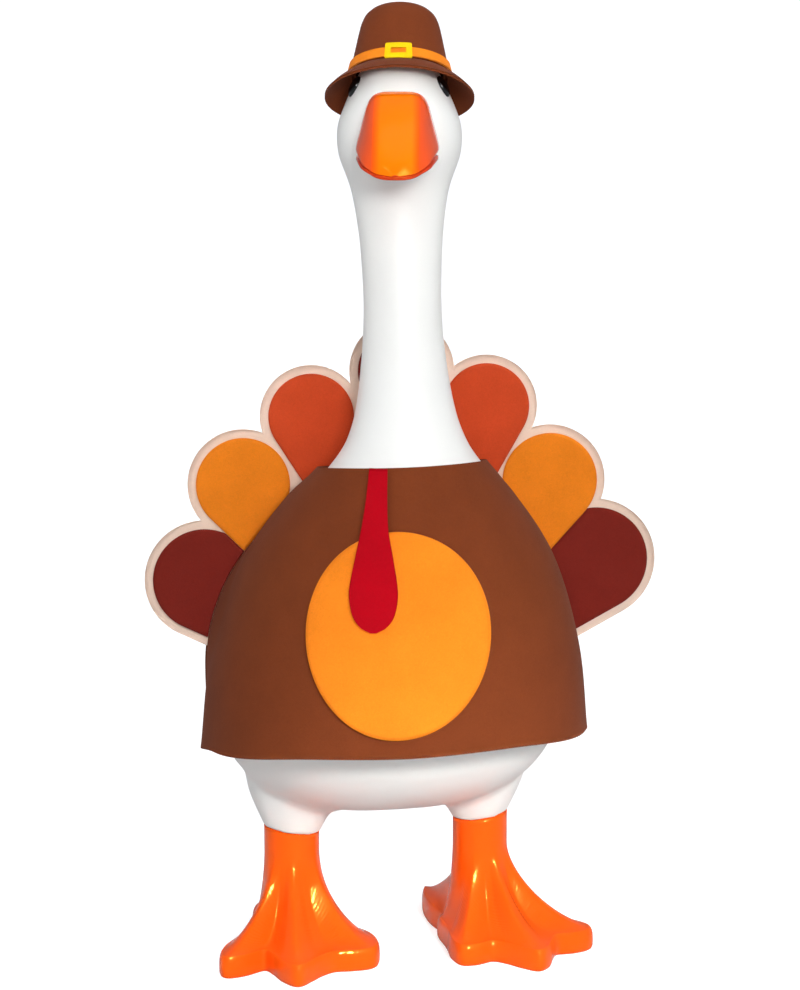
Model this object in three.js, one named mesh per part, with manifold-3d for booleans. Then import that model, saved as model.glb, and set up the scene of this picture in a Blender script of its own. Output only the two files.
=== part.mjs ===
// A hollow plastic garden goose, standing, dressed for Thanksgiving in a turkey costume of felt:
// a hat with a buckle, a cape with a belly patch and a wattle, and a fan of seven feathers in the
// cape's shoulder seams. Millimetres, +Z up. The goose faces -Y and stands on z = 0.

import * as THREE from 'three';
import { mergeVertices } from 'three/addons/utils/BufferGeometryUtils.js';
import Module from 'manifold-3d';

// Driving dimensions: torso, neck and head
const bellyHeight = 99;
const torsoLength = 398;
const torsoWidth = 234;
const torsoHeight = 222;
const breastReach = 126; // breast ahead of the ankles
const neckRise = 336; // from inside the shoulders to the top of the head
const neckSink = 60; // how far the neck starts below the top of the shoulders
const headWidth = 79;
const headLength = 87.5;
const collarForward = 68; // neck axis ahead of the ankles at the collar
const headTurn = 13.5; // degrees, towards -X
const shellWall = 3;
const fitGap = 0.3; // between pieces that fit together
const overrun = 4; // of a cutting tool past the face that it cuts
const weldDistance = 0.0003;

// Driving dimensions: legs
const legHeight = 89; // sole of the foot to the joint under the belly
const ankleSpacing = 128.5;
const ankleRadius = 18.4;
const thighHeight = 60;
const thighRadius = 44;
const thighInward = 12; // how far a thigh leans in by its top
const footReach = 83; // ankle axis to the tip of the middle toe
const footEdge = 15; // thickness of the foot at its rim
const instepHeight = 56;
const ankleSlant = 8.5; // degrees, the joint under the thigh rises outwards
const leftJointLower = 4.5; // the joint of the left leg, below the right one
const rimInset = 2.5;
const leftSplay = 6.5; // degrees, toes outwards
const rightSplay = 16.5;
const rightAhead = 5; // the right foot stands this far ahead of the left one
const spigotRadius = 13;
const spigotLength = 28;

// Driving dimensions: bill, eyes and plug
const billLength = 52;
const billWidth = 56;
const billDepth = 39;
const billPegRadius = 6;
const lipPegRadius = 2;
const billPegLength = 16;
const eyeLength = 14;
const eyeWidth = 9.5;
const eyeThickness = 6;
const eyeAhead = 12;
const eyeLean = 24; // degrees
const eyePegRadius = 2.5;
const eyePegLength = 9;
const plugRadius = 14;
const plugFlangeRadius = 19;
const plugFlangeThickness = 3;
const plugDepth = 12;
const plugBack = 72;
const plugBossWall = 5;

// Driving dimensions: hat
const hatTilt = 20; // degrees, towards the back of the head
const hatBack = 7.3;
const crownRadius = 32;
const crownHeight = 46;
const hatFeltThickness = 1.8;
const brimWidth = 15;
const brimDrop = 13;
const bandHeight = 6.5;
const bandThickness = 1.2;
const buckleWidth = 15.4;
const buckleHeight = 10.8;
const buckleFrame = 3.4;
const buckleThickness = 1.6;
const sweatbandHeight = 9;
const sweatbandThickness = 2.2;

// Driving dimensions: cape, belly patch, wattle and closure
const clothThickness = 2.4;
const clothGap = 1.2; // between the cape and the goose
const layerGap = 0.8; // between two layers of felt
const capeTurn = 6; // degrees, towards -X
const capeRoll = 1.9; // degrees, +X up
const capeReach = 168; // neck axis to the back hem
const capeTop = 346;
const capeAcross = -3.8;
const capeDrop = 195;
const patchWidth = 113;
const patchHeight = 127;
const patchMiddle = 240;
const patchAcross = -3.7;
const patchThickness = 1.6;
const wattleLength = 97;
const wattleWidth = 29.5;
const wattleAcross = -18.5;
const wattleThickness = 2;
const tabWidth = 34;
const tabHeight = 15;
const tabThickness = 1.6;
const closureGap = 0.8;

// Driving dimensions: fan
const fanBehind = 54; // neck axis to the middle of the fan
const fanAcross = 1.5;
const fanMiddle = 267.5;
const fanThickness = 3;
const fanReach = 112; // fan's middle to the middle of a feather's round end
const featherRadius = 28.2;
const featherLength = 62; // middle of the round end to the pointed root
const featherThickness = 1.4;
const borderWidth = 5.4;

// Counts of faces
const torsoStations = 16;
const torsoSides = 24;
const neckLevels = 22;
const neckSides = 22;
const hollowStations = 10;
const hollowSides = 12;
const thighLevels = 5;
const rodSides = 18;
const footSides = 60;
const footSlopes = 6;
const billSides = 18;
const billSteps = 7;
const eyeSides = 12;
const eyeLevels = 8;
const turnedSides = 26;
const capeRows = 12;
const capeSides = 44;
const patchRings = 3;
const patchSides = 30;
const wattleRows = 12;
const wattleColumns = 4;
const tabRows = 2;
const tabColumns = 5;
const featherSegments = 8;

// Finishes
const white = { color: 0xf0f1ea, roughness: 0.38, metalness: 0 };
const orange = { color: 0xfb5a18, roughness: 0.22, metalness: 0 };
const billOrange = { color: 0xff7908, roughness: 0.22, metalness: 0 };
const black = { color: 0x0b0b0c, roughness: 0.08, metalness: 0 };
const brownFelt = { color: 0x75381c, roughness: 0.95, metalness: 0 };
const orangeFelt = { color: 0xf0841f, roughness: 0.95, metalness: 0 };
const yellowFelt = { color: 0xf3c510, roughness: 0.9, metalness: 0 };
const redFelt = { color: 0xae0315, roughness: 0.95, metalness: 0 };
const rustFelt = { color: 0xcb4925, roughness: 0.95, metalness: 0 };
const maroonFelt = { color: 0x7d261d, roughness: 0.95, metalness: 0 };
const creamFelt = { color: 0xf5dac4, roughness: 0.95, metalness: 0 };
const blackTape = { color: 0x2a2522, roughness: 0.9, metalness: 0 };

const wasm = await Module();
wasm.setup();

const radians = THREE.MathUtils.degToRad;
const clamp = THREE.MathUtils.clamp;
const fullTurn = 2 * Math.PI;
const sides = [-1, 1];
const goose = new THREE.Group();

function addPiece(name, geometry, finish) {
  const material = new THREE.MeshStandardMaterial({ ...finish, side: THREE.DoubleSide });
  const mesh = new THREE.Mesh(geometry, material);
  mesh.name = name;
  goose.add(mesh);
}

// Booleans
function toSolid(geometry) {
  const bare = geometry.clone();
  bare.deleteAttribute('normal');
  bare.deleteAttribute('uv');
  const merged = mergeVertices(bare, weldDistance);
  return new wasm.Manifold(new wasm.Mesh({
    numProp: 3,
    vertProperties: new Float32Array(merged.attributes.position.array),
    triVerts: new Uint32Array(merged.index.array),
  }));
}

function toGeometry(solid) {
  const mesh = solid.getMesh();
  const geometry = new THREE.BufferGeometry();
  geometry.setAttribute('position', new THREE.BufferAttribute(mesh.vertProperties, 3));
  geometry.setIndex(new THREE.BufferAttribute(mesh.triVerts, 1));
  geometry.computeVertexNormals();
  return geometry;
}

function cut(geometry, ...tools) {
  return toGeometry(tools.reduce((solid, tool) => solid.subtract(toSolid(tool)), toSolid(geometry)));
}

function join(geometry, ...others) {
  return toGeometry(others.reduce((solid, other) => solid.add(toSolid(other)), toSolid(geometry)));
}

function common(geometry, other) {
  return toGeometry(toSolid(geometry).intersect(toSolid(other)));
}

// Tables. The first number of a row says where the row stands; the rest are read between the rows
// on a cubic that runs smoothly through them.
function readTable(rows, at) {
  const last = rows.length - 1;
  let row = 0;
  while (row < last - 1 && at > rows[row + 1][0]) row += 1;
  const span = rows[row + 1][0] - rows[row][0];
  const part = clamp((at - rows[row][0]) / span, 0, 1);
  const slope = (index, column) => {
    const before = rows[Math.max(index - 1, 0)];
    const after = rows[Math.min(index + 1, last)];
    return (after[column] - before[column]) / (after[0] - before[0]);
  };
  return rows[row].map((from, column) => {
    const rise = rows[row + 1][column] - from;
    const leave = slope(row, column) * span;
    const arrive = slope(row + 1, column) * span;
    const bend = 3 * rise - 2 * leave - arrive;
    const twist = leave + arrive - 2 * rise;
    return from + part * (leave + part * (bend + part * twist));
  });
}

function circleSteps(count) {
  return Array.from({ length: count }, (_, step) => (step / count) * fullTurn);
}

function evenSteps(count) {
  return Array.from({ length: count + 1 }, (_, step) => step / count);
}

// A cosine or sine bent towards a square: power 2 keeps the circle, more is boxier.
function rounded(value, power) {
  return Math.sign(value) * Math.abs(value) ** (2 / power);
}

// A closed surface with its faces turned to point out, whichever way round they were listed.
function facingOut(positions, triangles) {
  const corner = (index) => new THREE.Vector3().fromArray(positions, 3 * triangles[index]);
  let volume = 0;
  for (let first = 0; first < triangles.length; first += 3) {
    volume += corner(first).dot(corner(first + 1).cross(corner(first + 2)));
  }
  const geometry = new THREE.BufferGeometry();
  geometry.setAttribute('position', new THREE.Float32BufferAttribute(positions, 3));
  geometry.setIndex(volume < 0 ? triangles.toReversed() : triangles);
  geometry.computeVertexNormals();
  return geometry;
}

// A sheet from two grids of points, its inner and its outer face, each rows by columns. With wrap,
// the columns run all the way round.
function sheetGeometry(inner, outer, wrap) {
  const rows = inner.length;
  const columns = inner[0].length;
  const positions = [inner, outer].flat(3);
  const at = (face, row, column) => (face * rows + row) * columns + (column % columns);
  const triangles = [];
  const quad = (a, b, c, d) => triangles.push(a, b, c, a, c, d);
  const lastRow = rows - 1;
  const lastColumn = columns - 1;
  for (let column = 0; column < (wrap ? columns : lastColumn); column += 1) {
    const next = column + 1;
    for (let row = 0; row < lastRow; row += 1) {
      quad(at(0, row, column), at(0, row, next), at(0, row + 1, next), at(0, row + 1, column));
      quad(at(1, row, column), at(1, row + 1, column), at(1, row + 1, next), at(1, row, next));
    }
    quad(at(0, 0, column), at(1, 0, column), at(1, 0, next), at(0, 0, next));
    quad(at(0, lastRow, column), at(0, lastRow, next), at(1, lastRow, next), at(1, lastRow, column));
  }
  for (let row = 0; row < (wrap ? 0 : lastRow); row += 1) {
    const next = row + 1;
    quad(at(0, row, 0), at(0, next, 0), at(1, next, 0), at(1, row, 0));
    quad(at(0, row, lastColumn), at(1, row, lastColumn), at(1, next, lastColumn), at(0, next, lastColumn));
  }
  return facingOut(positions, triangles);
}

// Rings of points, one after the other, closed by a pole in the middle of the first and the last.
function loftGeometry(rings) {
  const count = rings[0].length;
  const positions = rings.flat(2);
  const triangles = [];
  for (let ring = 0; ring < rings.length - 1; ring += 1) {
    for (let side = 0; side < count; side += 1) {
      const next = (side + 1) % count;
      const low = ring * count;
      const high = low + count;
      triangles.push(low + side, low + next, high + next, low + side, high + next, high + side);
    }
  }
  [0, rings.length - 1].forEach((ring) => {
    const middle = [0, 1, 2].map((axis) => rings[ring].reduce((sum, point) => sum + point[axis], 0) / count);
    const pole = positions.length / 3;
    positions.push(...middle);
    for (let side = 0; side < count; side += 1) {
      const here = ring * count + side;
      const next = ring * count + ((side + 1) % count);
      triangles.push(...(ring === 0 ? [pole, next, here] : [pole, here, next]));
    }
  });
  return facingOut(positions, triangles);
}

function rodGeometry(radius, from, to) {
  const along = new THREE.Vector3().subVectors(to, from);
  const geometry = new THREE.CylinderGeometry(radius, radius, along.length(), rodSides);
  const cylinderAxis = new THREE.Vector3(0, 1, 0);
  const middle = from.clone().lerp(to, 1 / 2);
  geometry.applyQuaternion(new THREE.Quaternion().setFromUnitVectors(cylinderAxis, along.normalize()));
  return geometry.translate(middle.x, middle.y, middle.z);
}

function uprightRod(radius, x, y, low, high) {
  return rodGeometry(radius, new THREE.Vector3(x, y, low), new THREE.Vector3(x, y, high));
}

// Torso: rows along the length, each with the share of half the width, and the shares of the height
// above the belly where the back and the underside run.
const torsoShares = [
  [0, 0.02, 0.62, 0.6],
  [0.008, 0.24, 0.73, 0.49],
  [0.022, 0.4, 0.8, 0.4],
  [0.045, 0.56, 0.87, 0.3],
  [0.085, 0.74, 0.94, 0.18],
  [0.148, 0.89, 0.99, 0.08],
  [0.23, 0.975, 1, 0.015],
  [0.325, 1, 0.975, 0],
  [0.437, 0.925, 0.925, 0.02],
  [0.56, 0.785, 0.86, 0.085],
  [0.684, 0.63, 0.79, 0.2],
  [0.807, 0.43, 0.735, 0.355],
  [0.906, 0.28, 0.705, 0.48],
  [0.965, 0.17, 0.69, 0.555],
  [0.99, 0.09, 0.665, 0.595],
  [1, 0.02, 0.64, 0.63],
];
const torsoWaistShare = 0.45; // height of the widest line
const backPower = 2;
const bellyPower = 2.7;

function torsoSection(lengthShare, growth) {
  const [, widthShare, topShare, bottomShare] = readTable(torsoShares, clamp(lengthShare, 0, 1));
  const top = bellyHeight + torsoHeight * topShare;
  const bottom = bellyHeight + torsoHeight * bottomShare;
  const waist = bottom + (top - bottom) * torsoWaistShare;
  return {
    half: (torsoWidth / 2) * widthShare + growth,
    waist,
    rise: top - waist + growth,
    fall: waist - bottom + growth,
  };
}

function torsoGeometry(growth, stations, columns) {
  return loftGeometry(evenSteps(stations).map((step) => {
    const share = (1 - Math.cos(Math.PI * step)) / 2;
    const section = torsoSection(share, growth);
    const along = -breastReach - growth + (torsoLength + 2 * growth) * share;
    return circleSteps(columns).map((turn) => {
      const power = Math.sin(turn) > 0 ? backPower : bellyPower;
      const up = rounded(Math.sin(turn), power);
      return [
        section.half * rounded(Math.cos(turn), power),
        along,
        section.waist + (up > 0 ? section.rise : section.fall) * up,
      ];
    });
  }));
}

function insideTorso([x, y, z], growth) {
  const share = (y + breastReach + growth) / (torsoLength + 2 * growth);
  if (share <= 0 || share >= 1) return false;
  const section = torsoSection(share, growth);
  const up = z - section.waist;
  const power = up > 0 ? backPower : bellyPower;
  const high = Math.abs(up) / (up > 0 ? section.rise : section.fall);
  return (Math.abs(x) / section.half) ** power + high ** power < 1;
}

// Neck and head: rows up the rise, each with the shares of half the head's width, of half its
// length in front of and behind the axis, and of the collar's distance ahead of the ankles.
const neckShares = [
  [0, 2.23, 1.27, 1.36, 0.93],
  [0.083, 2.0, 1.3, 1.34, 0.965],
  [0.143, 1.74, 1.27, 1.26, 0.985],
  [0.187, 1.48, 1.2, 1.16, 0.995],
  [0.229, 1.18, 1.08, 1.04, 1],
  [0.259, 1.0, 0.93, 0.91, 0.99],
  [0.286, 0.9, 0.83, 0.82, 0.97],
  [0.315, 0.82, 0.765, 0.755, 0.94],
  [0.372, 0.73, 0.68, 0.68, 0.89],
  [0.455, 0.65, 0.61, 0.61, 0.83],
  [0.53, 0.625, 0.6, 0.6, 0.795],
  [0.631, 0.66, 0.625, 0.625, 0.74],
  [0.685, 0.71, 0.66, 0.66, 0.705],
  [0.735, 0.785, 0.73, 0.71, 0.68],
  [0.765, 0.87, 0.845, 0.8, 0.67],
  [0.793, 0.96, 0.95, 0.88, 0.665],
  [0.821, 0.998, 1.0, 0.94, 0.663],
  [0.85, 0.99, 1.02, 0.97, 0.663],
  [0.877, 0.92, 0.985, 0.95, 0.663],
  [0.909, 0.805, 0.88, 0.87, 0.663],
  [0.938, 0.69, 0.74, 0.74, 0.663],
  [0.96, 0.575, 0.58, 0.6, 0.663],
  [0.978, 0.43, 0.42, 0.44, 0.663],
  [0.992, 0.24, 0.235, 0.25, 0.663],
  [1, 0.02, 0.02, 0.02, 0.663],
];
const headLevelPower = 0.8; // below 1 puts more levels near the top of the head
const neckBase = bellyHeight + torsoHeight - neckSink;
const headForward = collarForward * neckShares[neckShares.length - 1][4];

// Heights up the neck, in shares of its rise.
const turnStartShare = 0.354; // where the neck starts to turn
const turnEndShare = 0.771;
const billTopShare = 0.911;
const eyeShare = 0.9226;
const hatShare = 0.9435;

function upNeck(riseShare) {
  return neckBase + neckRise * riseShare;
}

const billTop = upNeck(billTopShare);
const eyeHeight = upNeck(eyeShare);
const hatHeight = upNeck(hatShare);
const faceAhead = headLength / 2;

function neckSection(height, growth) {
  const rise = clamp((height - neckBase) / (neckRise + growth), 0, 1);
  const [, widthShare, frontShare, backShare, forwardShare] = readTable(neckShares, rise);
  const turning = clamp((rise - turnStartShare) / (turnEndShare - turnStartShare), 0, 1);
  return {
    half: (headWidth / 2) * widthShare + growth,
    front: faceAhead * frontShare + growth,
    back: faceAhead * backShare + growth,
    forward: collarForward * forwardShare,
    turn: radians(headTurn) * turning * turning * (3 - 2 * turning),
  };
}

// A point given across and ahead of the neck axis, on a neck that has turned with its height.
function placeAhead(section, across, ahead, height) {
  const sine = Math.sin(section.turn);
  const cosine = Math.cos(section.turn);
  return [across * cosine - ahead * sine, -section.forward - across * sine - ahead * cosine, height];
}

function neckGeometry(growth, levels, columns) {
  return loftGeometry(evenSteps(levels).map((step) => {
    const share = Math.sin((Math.PI / 2) * step ** headLevelPower);
    const height = neckBase + (neckRise + growth) * share;
    const section = neckSection(height, step < 1 ? growth : 0);
    return circleSteps(columns).map((turn) => {
      const across = section.half * Math.cos(turn);
      const ahead = (Math.sin(turn) > 0 ? section.front : section.back) * Math.sin(turn);
      return placeAhead(section, across, ahead, height);
    });
  }));
}

function insideNeck([x, y, z], growth) {
  if (z < neckBase || z > neckBase + neckRise + growth) return false;
  const section = neckSection(z, growth);
  const offset = y + section.forward;
  const across = x * Math.cos(section.turn) - offset * Math.sin(section.turn);
  const ahead = -x * Math.sin(section.turn) - offset * Math.cos(section.turn);
  return (across / section.half) ** 2 + (ahead / (ahead > 0 ? section.front : section.back)) ** 2 < 1;
}

// The head's own frame: x across, -y ahead, z up, standing on the head's axis.
function headFrame(geometry) {
  return geometry.rotateZ(-radians(headTurn)).translate(0, -headForward, 0);
}

// Thighs: rows up from the ankle, with the shares of the thigh's growth and of its lean inwards.
const thighShares = [
  [0, 0, 0],
  [0.2, 0.25, 0.05],
  [0.4, 0.5, 0.2],
  [0.68, 0.78, 0.6],
  [1, 1, 1],
];

// Place of an ankle's axis on the ground plan.
function anklePlace(side) {
  return [(side * ankleSpacing) / 2, side > 0 ? -rightAhead : 0];
}

// The joint between leg and thigh is a slanted plane, lower on the left leg.
function jointHeight(side, across) {
  const middle = side < 0 ? legHeight - leftJointLower : legHeight;
  return middle + side * across * Math.tan(radians(ankleSlant));
}

function thighGeometry(side) {
  const [across, back] = anklePlace(side);
  return loftGeometry(evenSteps(thighLevels).map((step) => {
    const [, growShare, inwardShare] = readTable(thighShares, step);
    const radius = ankleRadius + fitGap + (thighRadius - ankleRadius) * growShare;
    const middle = across - side * thighInward * inwardShare;
    return circleSteps(rodSides).map((turn) => {
      const foot = jointHeight(side, radius * Math.cos(turn));
      const height = foot + (legHeight + thighHeight - foot) * step;
      return [middle + radius * Math.cos(turn), back + radius * Math.sin(turn), height];
    });
  }));
}

// Feet: rows round the ankle in degrees outwards from the middle toe, with the share of the foot's
// reach and how much of a ridge, rather than of a web, runs out there. The two feet aren't alike.
const leftFootShares = [
  [-180, 0.92, 1],
  [-165, 0.8, 0.9],
  [-145, 0.5, 0.6],
  [-115, 0.4, 0.5],
  [-90, 0.5, 0.5],
  [-70, 0.7, 0.65],
  [-58, 0.8, 0.9],
  [-48, 0.84, 1],
  [-38, 0.77, 0.5],
  [-27, 0.7, 0],
  [-16, 0.74, 0.2],
  [-8, 0.83, 0.8],
  [0, 0.93, 1],
  [8, 0.82, 0.8],
  [16, 0.67, 0.2],
  [26, 0.6, 0],
  [34, 0.79, 0.6],
  [40, 0.88, 1],
  [46, 0.84, 0.9],
  [54, 0.71, 0.7],
  [64, 0.55, 0.5],
  [80, 0.42, 0.5],
  [105, 0.38, 0.5],
  [135, 0.44, 0.6],
  [160, 0.74, 0.9],
  [180, 0.92, 1],
];
const rightFootShares = [
  [-180, 0.95, 1],
  [-163, 0.61, 0.9],
  [-142, 0.37, 0.6],
  [-115, 0.35, 0.5],
  [-85, 0.37, 0.5],
  [-65, 0.46, 0.5],
  [-52, 0.61, 0.7],
  [-42, 0.72, 1],
  [-33, 0.7, 0.6],
  [-20, 0.62, 0],
  [-11, 0.7, 0.3],
  [-5, 0.84, 0.8],
  [0, 0.95, 1],
  [7, 0.92, 0.9],
  [16, 0.82, 0.3],
  [26, 0.77, 0],
  [34, 0.87, 0.6],
  [42, 0.95, 1],
  [49, 0.93, 0.9],
  [57, 0.78, 0.7],
  [67, 0.59, 0.5],
  [82, 0.46, 0.5],
  [105, 0.4, 0.5],
  [135, 0.42, 0.6],
  [160, 0.7, 0.9],
  [180, 0.95, 1],
];
// Edge of the foot from the sole up, in shares of its thickness and of the inset of the rim.
const footEdgeShares = [
  [0, 0.5],
  [0.17, 0],
  [0.75, 0.25],
];
const ridgePower = 1.7; // how fast the foot falls away from the instep along a toe
const webPower = 2.9;

function footRim(side, turn) {
  const outwards = THREE.MathUtils.radToDeg(side * (turn > Math.PI ? turn - fullTurn : turn));
  const [, reachShare, ridgeShare] = readTable(side < 0 ? leftFootShares : rightFootShares, outwards);
  return { reach: footReach * reachShare, power: webPower + (ridgePower - webPower) * ridgeShare };
}

function legGeometry(side, splay) {
  const [middle, back] = anklePlace(side);
  const ring = (radiusAt, heightAt) => circleSteps(footSides).map((turn) => {
    const rim = footRim(side, turn);
    const radius = radiusAt(rim);
    const heading = turn + side * radians(splay);
    return [middle + radius * Math.sin(heading), back - radius * Math.cos(heading), heightAt(rim)];
  });
  const edges = footEdgeShares.map(([heightShare, insetShare]) => ring(
    (rim) => rim.reach - rimInset * insetShare,
    () => footEdge * heightShare,
  ));
  const slopes = evenSteps(footSlopes).map((share) => ring(
    (rim) => rim.reach - rimInset + (ankleRadius - rim.reach + rimInset) * share,
    (rim) => footEdge + (instepHeight - footEdge) * share ** rim.power,
  ));
  const top = circleSteps(footSides).map((turn) => {
    const across = ankleRadius * Math.sin(turn + side * radians(splay));
    const ahead = ankleRadius * Math.cos(turn + side * radians(splay));
    return [middle + across, back - ahead, jointHeight(side, across) - fitGap];
  });
  const leg = loftGeometry([...edges, ...slopes, top]);
  const spigotRoot = legHeight - 2 * overrun;
  return join(leg, uprightRod(spigotRadius, middle, back, spigotRoot, legHeight + spigotLength));
}

// Bill: rows from the face to the tip, with the shares of half the width at the mouth line and at
// the flat ridge on top, and of the depth below the bill's top where the ridge and the mouth run.
const billShares = [
  [0, 0.955, 0.61, 0, 0.96],
  [0.18, 0.95, 0.59, 0.08, 0.98],
  [0.4, 0.905, 0.55, 0.27, 1.02],
  [0.6, 0.84, 0.51, 0.5, 1.075],
  [0.78, 0.755, 0.45, 0.76, 1.15],
  [0.9, 0.61, 0.37, 0.96, 1.22],
  [0.97, 0.41, 0.25, 1.12, 1.28],
  [1, 0.1, 0.07, 1.26, 1.31],
];
// Lower bill: rows from the face to the tip, with the shares of the depth and of the mouth's width.
const lipShares = [
  [0, 0.12, 0.985],
  [0.4, 0.1, 0.975],
  [0.6, 0.085, 0.98],
  [0.78, 0.075, 0.96],
  [0.9, 0.08, 0.91],
  [0.97, 0.08, 0.88],
  [1, 0.04, 0.85],
];
const billRootShare = 0.55; // of the face's distance, where the bill starts inside the head
const billPower = 4.4;
const mouthPower = 9; // sharper than the top, where the sides meet the mouth line
const lipPower = 2.4;
const upperPegShare = 0.45; // of the depth below the bill's top
const lowerPegShare = 1.03;
const pegInsideShare = 0.25; // of a peg's length, inside the bill

function billSection(share) {
  const [, mouthShare, ridgeShare, topShare, bottomShare] = readTable(billShares, share);
  return {
    mouth: (billWidth / 2) * mouthShare,
    ridge: (billWidth / 2) * ridgeShare,
    top: billTop - billDepth * topShare,
    bottom: billTop - billDepth * bottomShare,
  };
}

function billLoft(outline) {
  const rootRing = outline(0).map(([x, z]) => [x, -faceAhead * billRootShare, z]);
  const rings = evenSteps(billSteps).map((step) => {
    const share = Math.sin((Math.PI / 2) * step);
    return outline(share).map(([x, z]) => [x, -faceAhead - billLength * share, z]);
  });
  return loftGeometry([rootRing, ...rings]);
}

function upperBillGeometry() {
  return billLoft((share) => circleSteps(billSides).map((turn) => {
    const section = billSection(share);
    const power = Math.sin(turn) < 0 ? mouthPower : billPower;
    const up = (rounded(Math.sin(turn), power) + 1) / 2;
    const half = section.mouth + (section.ridge - section.mouth) * up;
    return [half * rounded(Math.cos(turn), power), section.bottom + (section.top - section.bottom) * up];
  }));
}

function lowerBillGeometry() {
  return billLoft((share) => circleSteps(billSides).map((turn) => {
    const section = billSection(share);
    const [, depthShare, widthShare] = readTable(lipShares, share);
    const halfDepth = (billDepth * depthShare) / 2;
    const up = rounded(Math.sin(turn), lipPower);
    const across = section.mouth * widthShare * rounded(Math.cos(turn), lipPower);
    return [across, section.bottom - fitGap - halfDepth + halfDepth * up];
  }));
}

function billPegGeometry(radius, depthShare, clearance) {
  const height = billTop - billDepth * depthShare;
  const front = new THREE.Vector3(0, -faceAhead - billPegLength * pegInsideShare, height);
  const back = new THREE.Vector3(0, -faceAhead + billPegLength + clearance, height);
  return headFrame(rodGeometry(radius + clearance, front, back));
}

const upperPegGeometry = (clearance) => billPegGeometry(billPegRadius, upperPegShare, clearance);
const lowerPegGeometry = (clearance) => billPegGeometry(lipPegRadius, lowerPegShare, clearance);

// Eyes: a lens with a peg behind it.
function eyePlace(side) {
  const section = neckSection(eyeHeight, 0);
  const across = section.half * Math.sqrt(1 - (eyeAhead / section.front) ** 2);
  const facing = Math.atan2(eyeAhead / section.front ** 2, across / section.half ** 2);
  return { middle: new THREE.Vector3(side * across, -eyeAhead, eyeHeight), facing: side * facing };
}

function eyeLensGeometry(side) {
  const { middle, facing } = eyePlace(side);
  const lens = new THREE.SphereGeometry(1 / 2, eyeSides, eyeLevels);
  lens.scale(eyeThickness, eyeWidth, eyeLength);
  lens.rotateX(radians(eyeLean) / 2).rotateY(-side * radians(eyeLean)).rotateZ(-facing);
  return headFrame(lens.translate(middle.x, middle.y, middle.z));
}

function eyePegGeometry(side, clearance) {
  const { middle, facing } = eyePlace(side);
  const inwards = new THREE.Vector3(-side * Math.cos(facing), side * Math.sin(facing), 0);
  const tail = middle.clone().addScaledVector(inwards, eyePegLength + clearance);
  return headFrame(rodGeometry(eyePegRadius + clearance, middle, tail));
}

// Body: one blow-moulded shell of torso, thighs, neck and head, open where the pieces plug in.
function plugSeat() {
  const section = torsoSection((plugBack + breastReach) / torsoLength, 0);
  return section.waist - section.fall + plugFlangeThickness;
}

function bodyGeometry() {
  const torso = torsoGeometry(0, torsoStations, torsoSides);
  const neck = neckGeometry(0, neckLevels, neckSides);
  const outside = join(torso, neck, ...sides.map(thighGeometry));
  const seat = plugSeat();
  const below = bellyHeight - overrun;
  const roof = seat + plugBossWall;
  const boss = uprightRod(plugFlangeRadius + plugBossWall, 0, plugBack, below, roof);
  const torsoHollow = torsoGeometry(-shellWall, hollowStations, hollowSides);
  const hollow = cut(join(torsoHollow, neckGeometry(-shellWall, hollowStations, hollowSides)), boss);
  const flangeSeat = uprightRod(plugFlangeRadius + fitGap, 0, plugBack, below, seat);
  const mouth = uprightRod(plugRadius + fitGap, 0, plugBack, below, roof + overrun);
  const socketEnd = legHeight + spigotLength + overrun;
  const sockets = sides.map((side) => (
    uprightRod(spigotRadius + fitGap, ...anklePlace(side), legHeight - 3 * overrun, socketEnd)
  ));
  const eyeHoles = sides.map((side) => eyePegGeometry(side, fitGap));
  const billHoles = [upperPegGeometry(fitGap), lowerPegGeometry(fitGap)];
  return cut(outside, hollow, flangeSeat, mouth, ...sockets, ...eyeHoles, ...billHoles);
}

function plugGeometry() {
  const top = plugSeat() - fitGap;
  const flange = uprightRod(plugFlangeRadius, 0, plugBack, top - plugFlangeThickness, top);
  return join(flange, uprightRod(plugRadius, 0, plugBack, top - plugFlangeThickness / 2, top + plugDepth));
}

const headClear = neckGeometry(fitGap, neckLevels, neckSides);
addPiece('body_shell', bodyGeometry(), white);
addPiece('leg_left', legGeometry(-1, leftSplay), orange);
addPiece('leg_right', legGeometry(1, rightSplay), orange);
addPiece('bill_upper', join(cut(headFrame(upperBillGeometry()), headClear), upperPegGeometry(0)), billOrange);
addPiece('bill_lower', join(cut(headFrame(lowerBillGeometry()), headClear), lowerPegGeometry(0)), orange);
addPiece('eye_left', join(cut(eyeLensGeometry(-1), headClear), eyePegGeometry(-1, 0)), black);
addPiece('eye_right', join(cut(eyeLensGeometry(1), headClear), eyePegGeometry(1, 0)), black);
addPiece('fill_plug', plugGeometry(), white);

// Hat: turned pieces round the hat's own axis, which leans back from the head's. Rows up the crown,
// each with the share of its radius.
const crownShares = [
  [0, 1],
  [0.16, 0.945],
  [0.4, 0.875],
  [0.62, 0.81],
  [0.76, 0.755],
  [0.87, 0.66],
  [0.95, 0.46],
  [1, 0],
];
const bandSteps = 3;

function turned(corners) {
  const points = corners.map(([radius, height]) => new THREE.Vector2(radius, height));
  if (THREE.ShapeUtils.isClockWise(points)) points.reverse();
  return new THREE.LatheGeometry(points, turnedSides).rotateX(Math.PI / 2);
}

function hatFrame(geometry) {
  return headFrame(geometry.rotateX(-radians(hatTilt)).translate(0, hatBack, hatHeight));
}

// The crown's radius at a height, on its face or at an inset inside it.
function crownRadiusAt(height, inset = 0) {
  return (crownRadius - inset) * readTable(crownShares, height / (crownHeight - inset))[1];
}

function crownGeometry() {
  const face = (inset) => crownShares.map(([heightShare, radiusShare]) => (
    [(crownRadius - inset) * radiusShare, (crownHeight - inset) * heightShare]
  ));
  const outside = face(0);
  return turned([...outside, ...face(hatFeltThickness).reverse(), outside[0]]);
}

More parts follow.
